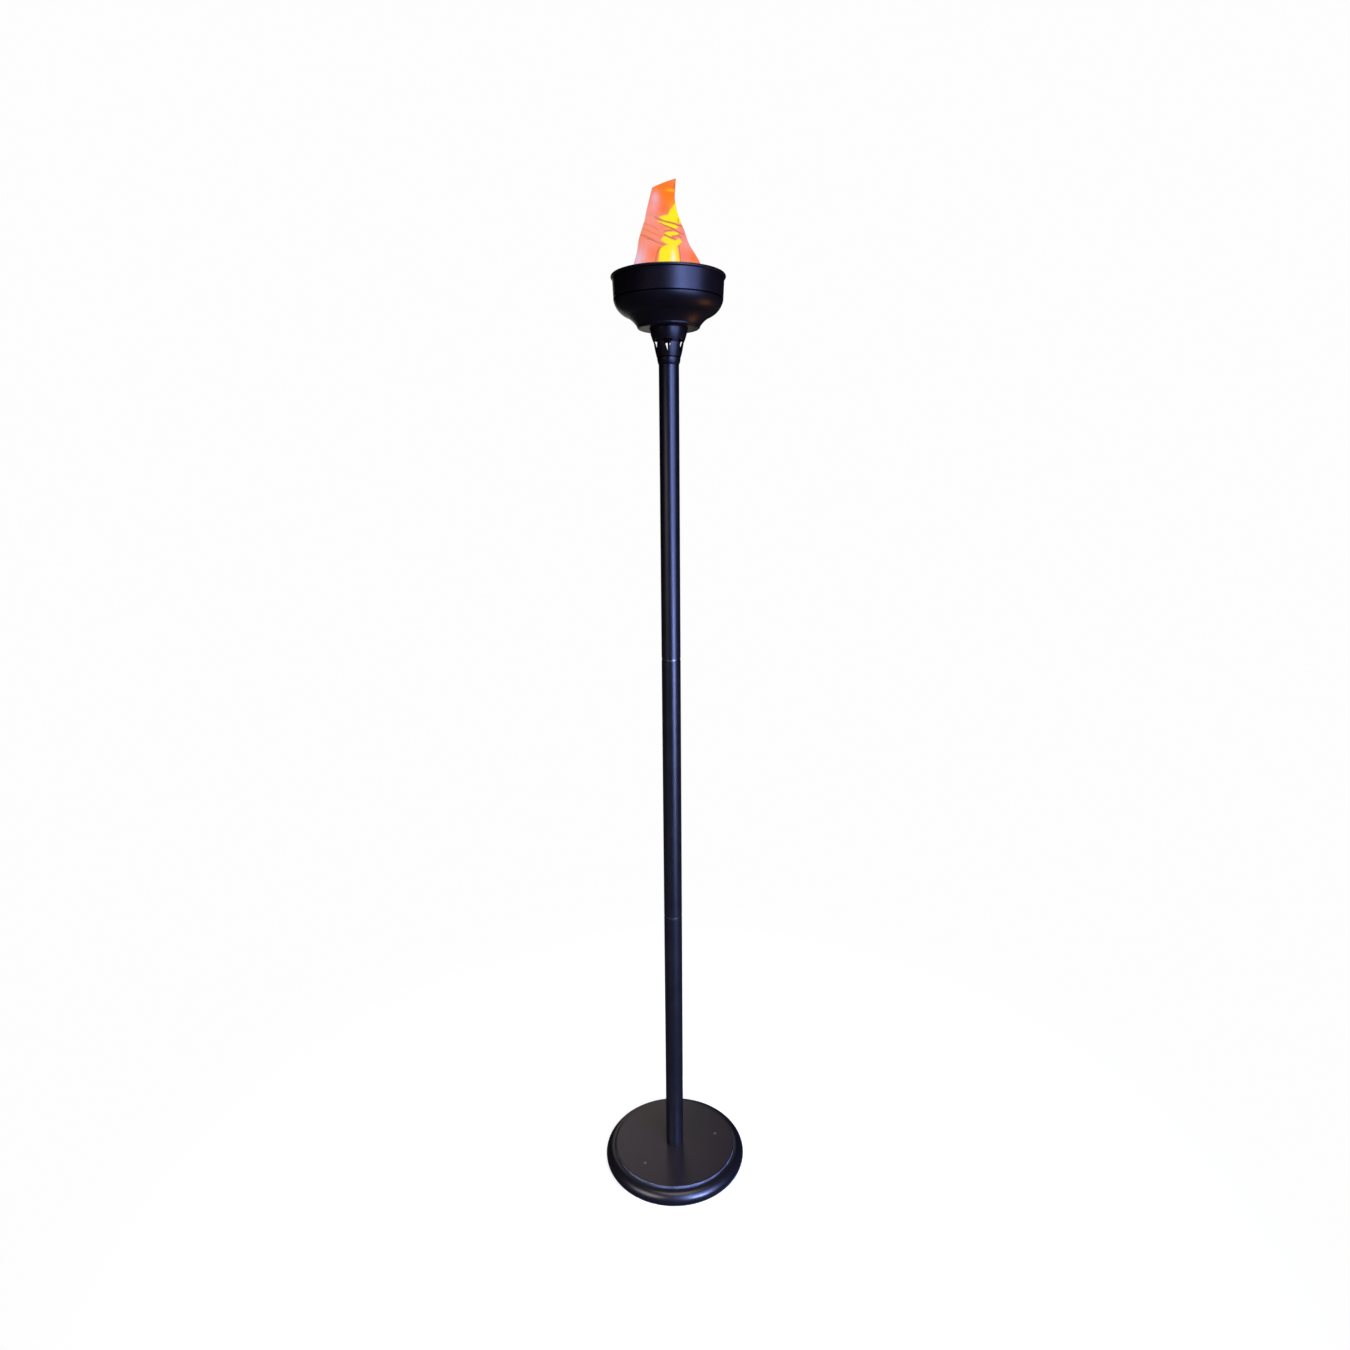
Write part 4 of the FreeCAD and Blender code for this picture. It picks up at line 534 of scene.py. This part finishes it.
silkLooks = {
    "warps": 620, "wefts": 300,
    # painted light: the glow colours of the cloth lit from the LEDs beneath, the yellow of the bright
    # shapes and the dark of the painted fold shade
    "base": (0.98, 0.27, 0.175), "yellow": (1.0, 0.86, 0.004), "crease": (0.27, 0.055, 0.004),
    # outline: painted shade darkening the sleeve towards its sides
    "outline": (0.60, 0.23, 0.16), "outlineFrom": 0.93, "outlineStrength": 0.42, "shapeBlur": 1.9,
    # soft patches of light: across, height, reach across, reach up in millimetres, strength, colour
    "patches": [
        (-30, 78, 16, 14, 0.75, (0.93, 0.36, 0.34)), (-22, 80, 9, 5, 0.5, (0.86, 0.30, 0.17)),
        (-22, 38, 14, 7, 0.7, (0.93, 0.31, 0.27)), (-30, 56, 12, 4, 0.5, (0.92, 0.30, 0.12)),
        (-21, 22, 10, 11, 0.8, (1.0, 0.20, 0.07)), (25, 52, 9, 8, 0.75, (0.93, 0.25, 0.25)),
        (30, 38, 9, 9, 0.7, (0.93, 0.34, 0.36)), (38, 20, 11, 12, 0.9, (0.98, 0.17, 0.045)),
        (22, 18, 6, 9, 0.7, (1.0, 0.20, 0.17)), (-45, 18, 12, 17, 0.95, (0.80, 0.56, 0.74)),
        (2, 108, 21, 17, 1.0, (0.96, 0.19, 0.003)), (-4, 118, 24, 12, 1.0, (0.95, 0.19, 0.006)),
        (-5, 88, 11, 10, 0.95, (0.97, 0.17, 0.035)), (-22, 90, 9, 7, 0.8, (1.0, 0.35, 0.36)),
        (-18.0, 103, 6.0, 8.5, 1.0, (0.86, 0.44, 0.52)), (3, 104, 10, 12, 0.9, (0.98, 0.20, 0.002)),
        (12, 128, 7, 5, 0.6, (0.90, 0.23, 0.05)),
        (9, 92, 7, 8, 0.8, (1.0, 0.36, 0.004)), (5, 113.8, 7, 2.1, 0.9, (1.0, 0.48, 0.012)),
        (14.5, 120, 2.2, 5, 0.8, (1.0, 0.47, 0.06)), (-11, 32, 5, 4, 0.6, (0.95, 0.28, 0.02)),
    ],
    # bright shapes the lights throw on the cloth, as outlines: across and height in millimetres
    "shapes": [
        [(-12.5, 75.3), (-6.7, 77.4), (0.5, 79.1), (3.4, 85.8), (7.8, 92.2), (12.2, 99.6), (17, 102.3),
         (21, 96.9), (24, 88.9), (27, 80.9), (29, 71.6), (14.8, 68.2), (4.7, 67.8), (-5.3, 70.2)],
        [(-14.7, 70.7), (-6.8, 68.8), (3.3, 66.3), (10.5, 65.6), (15.5, 62.8), (11.9, 59.9), (4.7, 60.6),
         (-3.9, 63.8), (-11.1, 67.4)],
        [(-5.4, 50.7), (0.3, 53.7), (7.5, 54.9), (14.7, 53.6), (14.7, 50.9), (7.5, 48.6), (4.6, 46.6),
         (-1.1, 48.5)],
        [(-6.9, 47.0), (-2.6, 47.0), (4.6, 43.5), (10.3, 41.7), (16.1, 45.5), (20.4, 40.7), (16.0, 36.9),
         (13.1, 33.4), (4.5, 34.4), (-2.6, 36.5), (-9.8, 41.8)],
        [(-12.0, 23.8), (-9.8, 29.1), (-4.1, 33.5), (3.1, 35.3), (13.1, 34.4), (14.5, 27.3), (15.8, 16.5),
         (17.2, 7.3), (16.0, -16.0), (-14.0, -16.0), (-13.7, 7.1), (-12.3, 17.7)],
    ],
    # painted light: small hot spots where the LEDs shine strongest on the cloth
    "hotPatches": [
        (7.8, 13, 3.2, 12, 0.95, (1.0, 0.95, 0.66)), (13.5, 60, 3, 2.5, 0.3, (1.0, 0.62, 0.05)),
        (-10, 68.8, 3, 2, 0.45, (1.0, 0.62, 0.08)), (7, 51, 4, 2, 0.35, (1.0, 0.62, 0.02)),
        (13.5, 20, 2.5, 12, 0.35, (0.95, 0.68, 0.01)), (0.5, 58, 5, 2.2, 0.8, (0.95, 0.40, 0.03)),
    ],
    # painted shade along the folds, seen as dark lines: reach in millimetres, strength, then points along
    # the line
    "folds": [
        (0.85, 0.85, (-18.3, 75.7), (-11.1, 71.7), (-2.5, 68.9), (6.2, 67.2), (13.4, 65.3), (22.2, 65.6)),
        (0.90, 0.80, (-11.1, 67.0), (-3.9, 63.1), (4.7, 59.8), (13.3, 55.6), (22.0, 53.1)),
        (0.70, 0.65, (-5.4, 54.6), (1.8, 55.5), (6.1, 55.5)),
        (0.80, 0.75, (-4.7, 49.9), (1.7, 46.4), (10.3, 43.5)),
        (0.90, 0.60, (6.0, 47.4), (14.7, 49.9), (19.0, 47.7)),
        (0.95, 0.60, (-39.0, 54.1), (-28.6, 46.4), (-19.9, 41.7), (-11.2, 37.1), (-4.1, 34.2)),
        (0.80, 0.30, (-37.6, 63.5), (-25.6, 54.8), (-15.5, 49.8), (-8.3, 47.0)),
        (0.90, 0.28, (-33.0, 68.3), (-22.7, 62.5), (-14.0, 57.4)),
        (0.70, 0.50, (15.3, 34.4), (16.8, 27.6), (18.0, 8.8)),
        (0.80, 0.55, (-12.0, 30.7), (-15.6, 22.5), (-17.7, 10.5)),
        (0.80, 0.60, (14.9, 74.8), (15.3, 69.5)),
        (0.70, 0.45, (10.9, 123.7), (8.7, 117.4)),
        (0.70, 0.65, (11.7, 116.6), (11.7, 111.2)),
        (1.20, 0.30, (20.0, 76.0), (24.0, 66.0), (27.0, 60.0)),
    ],
}


def awayFromLine(across, height, start, end):
    runX, runZ = end[0] - start[0], end[1] - start[1]
    share = ((across - start[0]) * runX + (height - start[1]) * runZ) / (runX * runX + runZ * runZ)
    share = np.clip(share, 0, 1)
    return np.hypot(across - start[0] - share * runX, height - start[1] - share * runZ)


def depthInside(across, height, outline):
    # distance to the outline, counted positive inside it
    nearest = np.full(across.shape, 1e9)
    inside = np.zeros(across.shape, bool)
    for start, end in zip(outline, outline[1:] + outline[:1]):
        nearest = np.minimum(nearest, awayFromLine(across, height, start, end))
        crosses = (start[1] > height) != (end[1] > height)
        rise = (end[1] - start[1]) or 1e-9
        inside ^= crosses & (across < start[0] + (height - start[1]) * (end[0] - start[0]) / rise)
    return np.where(inside, nearest, -nearest)


def tinted(paint, tint, strength):
    return paint + (np.array(tint) - paint) * strength[:, None]


def paintedLight(across, height, looks):
    paint = np.tile(np.array(looks["base"]), (len(across), 1))

    def patch(paint, middle, level, reach, reachUp, strength, tint):
        falloff = np.exp(-((across - middle) / reach) ** 2 - ((height - level) / reachUp) ** 2)
        return tinted(paint, tint, strength * falloff)

    for row in looks["patches"]:
        paint = patch(paint, *row)
    for outline in looks["shapes"]:
        depth = depthInside(across, height, outline)
        paint = tinted(paint, looks["yellow"], np.clip(depth / looks["shapeBlur"] + 0.5, 0, 1))
    for row in looks["hotPatches"]:
        paint = patch(paint, *row)
    # painted shade: dark lines along the folds
    for reach, strength, *line in looks["folds"]:
        away = np.full(across.shape, 1e9)
        for start, end in zip(line, line[1:]):
            away = np.minimum(away, awayFromLine(across, height, start, end))
        middle = line[len(line) // 2][0]
        tapered = 0.70 + 0.30 * np.exp(-((across - middle) / 12) ** 2)
        paintedFoldShade = strength * tapered * np.exp(-(away / reach / 1.15) ** 2)
        paint = tinted(paint, looks["crease"], paintedFoldShade)
    return paint


def paintSleeve(piece, looks):
    count = len(piece.data.vertices)
    places = np.empty(count * 3)
    piece.data.vertices.foreach_get("co", places)
    places = places.reshape(count, 3) * 1000
    across, height = places[:, 0], places[:, 2] - rimZ * 1000
    turn = np.arange(count) % flame["around"] * (2 * math.pi / flame["around"])
    facing = np.clip(0.5 - np.sin(turn) / 0.5, 0, 1)
    front = paintedLight(across, height, looks)
    back = paintedLight(-across * 0.96 - 6, height * 0.94 + 5, looks)
    paint = back + (front - back) * facing[:, None]
    # painted shade: the sleeve darkens towards its sides, where it turns away
    paintedSideShade = (np.abs(np.cos(turn)) - looks["outlineFrom"]) / (1 - looks["outlineFrom"])
    paint = tinted(paint, looks["outline"], np.clip(paintedSideShade, 0, 1) ** 2 * looks["outlineStrength"])
    layer = piece.data.color_attributes.new("Light", "FLOAT_COLOR", "POINT")
    layer.data.foreach_set("color", np.hstack([paint, np.ones((count, 1))]).ravel())


def litSilk(name, looks):
    finish = Finish(name)
    u, v, _ = finish.split(finish.add("ShaderNodeUVMap", {"uv_map": "Weave"}))
    light = finish.add("ShaderNodeAttribute", {"attribute_name": "Light"})
    waver = finish.between(finish.grain(110, 3, 0.6), 0.35, 0.65)
    ripple = finish.grain(420, 3, 0.6, stretch=(1, 1, 0.4))
    tone = finish.mixed(waver * 0.08, light, (0.97, 0.27, 0.06))
    tone = finish.mixed(finish.between(ripple, 0.45, 0.70) * 0.10, tone, (0.55, 0.20, 0.05))

    # thread lines of the plain weave
    sine = {"operation": "SINE"}
    warp = finish.add("ShaderNodeMath", sine, [u * (2 * math.pi * looks["warps"])])
    weft = finish.add("ShaderNodeMath", sine, [v * (2 * math.pi * looks["wefts"])])
    weave = warp * weft * 0.5 + 0.5
    shade = finish.mixed(weave * 0.06, tone, (0.6, 0.2, 0.1))
    # the painted light is given as emission, so the silk glows as if lit through from the LEDs beneath;
    # its base colour is kept near black
    cloth = finish.mixed(0.93, shade, (0.010, 0.005, 0.002))
    return finish.surface(
        Base_Color=cloth, Roughness=0.62 + weave * 0.1, Specular_IOR_Level=0.06,
        Emission_Color=shade, Emission_Strength=0.96,
        Normal=finish.bumped(weave * 0.4 + ripple, 0.0002, 0.35))


def makeFlame(looks):
    piece = sewSleeve(looks)
    paintSleeve(piece, silkLooks)
    blowSilk(piece, looks)
    selectOnly(piece)
    thick = piece.modifiers.new("Thickness", "SOLIDIFY")
    thick.thickness = looks["thickness"]
    thick.offset = 0
    bpy.ops.object.modifier_apply(modifier="Thickness")
    bpy.ops.object.shade_smooth()
    piece.data.materials.append(litSilk("silk", silkLooks))
    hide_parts("silk_flame")
    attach(piece, "torch")
    print("silk flame:", len(piece.data.polygons), "faces")
    return piece


# finishes for the CAD nodes


def dress():
    coat = powderCoat("blackCoat", coatLooks)
    plate = powderCoat("plateCoat", plateLooks, plateEdge=plateRadius)
    moulding = satinMoulding("blackMoulding", mouldLooks, seams=[(seamZ, 0.0014), (neckFoot, 0.0010)])
    rivetSteel = platedSteel("rivetSteel", tint=(0.26, 0.27, 0.32), dull=0.34)
    dullMoulding = satinMoulding("dullMoulding", mouldLooks, roughness=0.5)
    steel = platedSteel("platedSteel")
    gunmetal = platedSteel("gunmetal", tint=(0.17, 0.18, 0.21), dull=0.22)
    cellLow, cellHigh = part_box("battery_cells")
    finishes = {
        coat: ["tube_lower", "tube_middle", "tube_upper"],
        plate: ["base_cover"], rivetSteel: ["cover_rivets"],
        moulding: ["neck_ferrule", "neck", "bowl", "bowl_band", "switch_body", "switch_rocker"],
        dullMoulding: ["bottom_plate", "battery_box", "battery_door", "deck", "deck_ring",
                       "hoop_inner", "hoop_outer", "fan_frame", "fan_rotor"],
        gunmetal: ["coupler_lower", "coupler_upper"],
        castIron("castIron"): ["base_weight", "fan_magnet", "fan_stator"],
        bronzeSleeve("bronzeSleeve"): ["fan_bearing"],
        softRubber("softRubber"): ["rubber_feet"],
        circuitBoard("circuitBoard"): ["led_board", "control_board"],
        chipBlack("chipBlack"): ["board_parts"],
        cellWrap("cellWrap", {"span": (cellLow.y, cellHigh.y)}): ["battery_cells"],
        cableSheath("cableSheath"): ["power_lead", "fan_wire", "light_wire", "switch_wire"],
        lightLens("lensYellow", (1.0, 0.80, 0.12), (0.80, 0.42, 0.02), 5.0): ["lights_yellow"],
        lightLens("lensOrange", (1.0, 0.32, 0.05), (0.75, 0.12, 0.01), 4.0): ["lights_orange"],
    }
    dressed = {"silk_flame"}
    for material, names in finishes.items():
        for name in names:
            nodes[name].data.materials.clear()
            nodes[name].data.materials.append(material)
            dressed.add(name)
    for name in sorted(set(nodes) - dressed):
        nodes[name].data.materials.clear()
        nodes[name].data.materials.append(steel)
    print("finishes:", len(finishes) + 1)


# floor, lights and camera


def floorFinish(looks):
    finish = Finish("paleFloor")
    x, y, _ = finish.split(finish.place())
    away = finish.add("ShaderNodeMath", {"operation": "SQRT"}, [x * x + y * y])
    far = finish.between(away, looks["floorFadeStart"], looks["floorFadeEnd"])
    near = finish.add("ShaderNodeBsdfPrincipled", {},
                      {"Base Color": colour(*looks["floorColour"]), "Roughness": 0.8,
                       "Specular IOR Level": 0.0,
                       "Emission Color": colour(1, 1, 1), "Emission Strength": looks["floorGlow"]})
    white = looks["white"]
    glow = finish.add("ShaderNodeEmission", {}, {"Color": colour(white, white, white)})
    bright = finish.add("ShaderNodeMixShader", {}, [far, near, glow])
    dim = finish.add("ShaderNodeEmission", {}, {"Color": colour(*looks["floorSeenInGloss"])})
    direct = finish.add("ShaderNodeLightPath", output="Is Camera Ray")
    both = finish.add("ShaderNodeMixShader", {}, [direct, dim, bright])
    finish.add("ShaderNodeOutputMaterial", {}, {"Surface": both})
    return finish.material


def setStudio(looks):
    bpy.ops.mesh.primitive_circle_add(vertices=96, radius=looks["floorRadius"], fill_type="NGON",
                                      location=(0, 0, 0))
    floor = named(bpy.context.object, "studioFloor")
    floor.data.materials.append(floorFinish(looks))

    world = bpy.data.worlds.new("studioAir")
    bpy.context.scene.world = world
    air = Finish("studioAir", world)
    backdrop = air.add("ShaderNodeBackground", {}, {"Color": colour(*[looks["white"]] * 3)})
    dim = air.add("ShaderNodeBackground", {}, {"Color": colour(*looks["surroundings"])})
    direct = air.add("ShaderNodeLightPath", output="Is Camera Ray")
    either = air.add("ShaderNodeMixShader", {}, [direct, dim, backdrop])
    air.add("ShaderNodeOutputWorld", {}, {"Surface": either})

    for name, spot, target, width, height, watts, tint, spread in softLights:
        data = bpy.data.lights.new(name, "AREA")
        data.shape = "RECTANGLE"
        data.size, data.size_y = width, height
        data.energy = watts
        data.color = tint
        data.spread = math.radians(spread)
        lamp = bpy.data.objects.new(name, data)
        bpy.context.scene.collection.objects.link(lamp)
        lamp.location = spot
        lamp.rotation_euler = (Vector(target) - Vector(spot)).to_track_quat("-Z", "Y").to_euler()

    data = bpy.data.cameras.new("camera")
    data.lens = looks["lens"]
    data.sensor_width = 36
    data.clip_start, data.clip_end = 0.01, 60
    camera = bpy.data.objects.new("camera", data)
    bpy.context.scene.collection.objects.link(camera)
    camera.location = (looks["cameraX"], looks["cameraY"], baseTop + looks["cameraAboveBase"])
    tilt = Matrix.Rotation(math.radians(90 - looks["pitchDown"]), 4, "X")
    roll = Matrix.Rotation(math.radians(looks["roll"]), 4, "Z")
    camera.matrix_world = Matrix.Translation(camera.location) @ tilt @ roll
    bpy.context.scene.camera = camera
    bpy.context.scene.view_settings.view_transform = "Standard"
    print("studio set, camera", tuple(round(part, 3) for part in camera.location))


for other in bpy.context.selected_objects:
    other.select_set(False)
setStudio(studio)
dress()
makeFlame(flame)
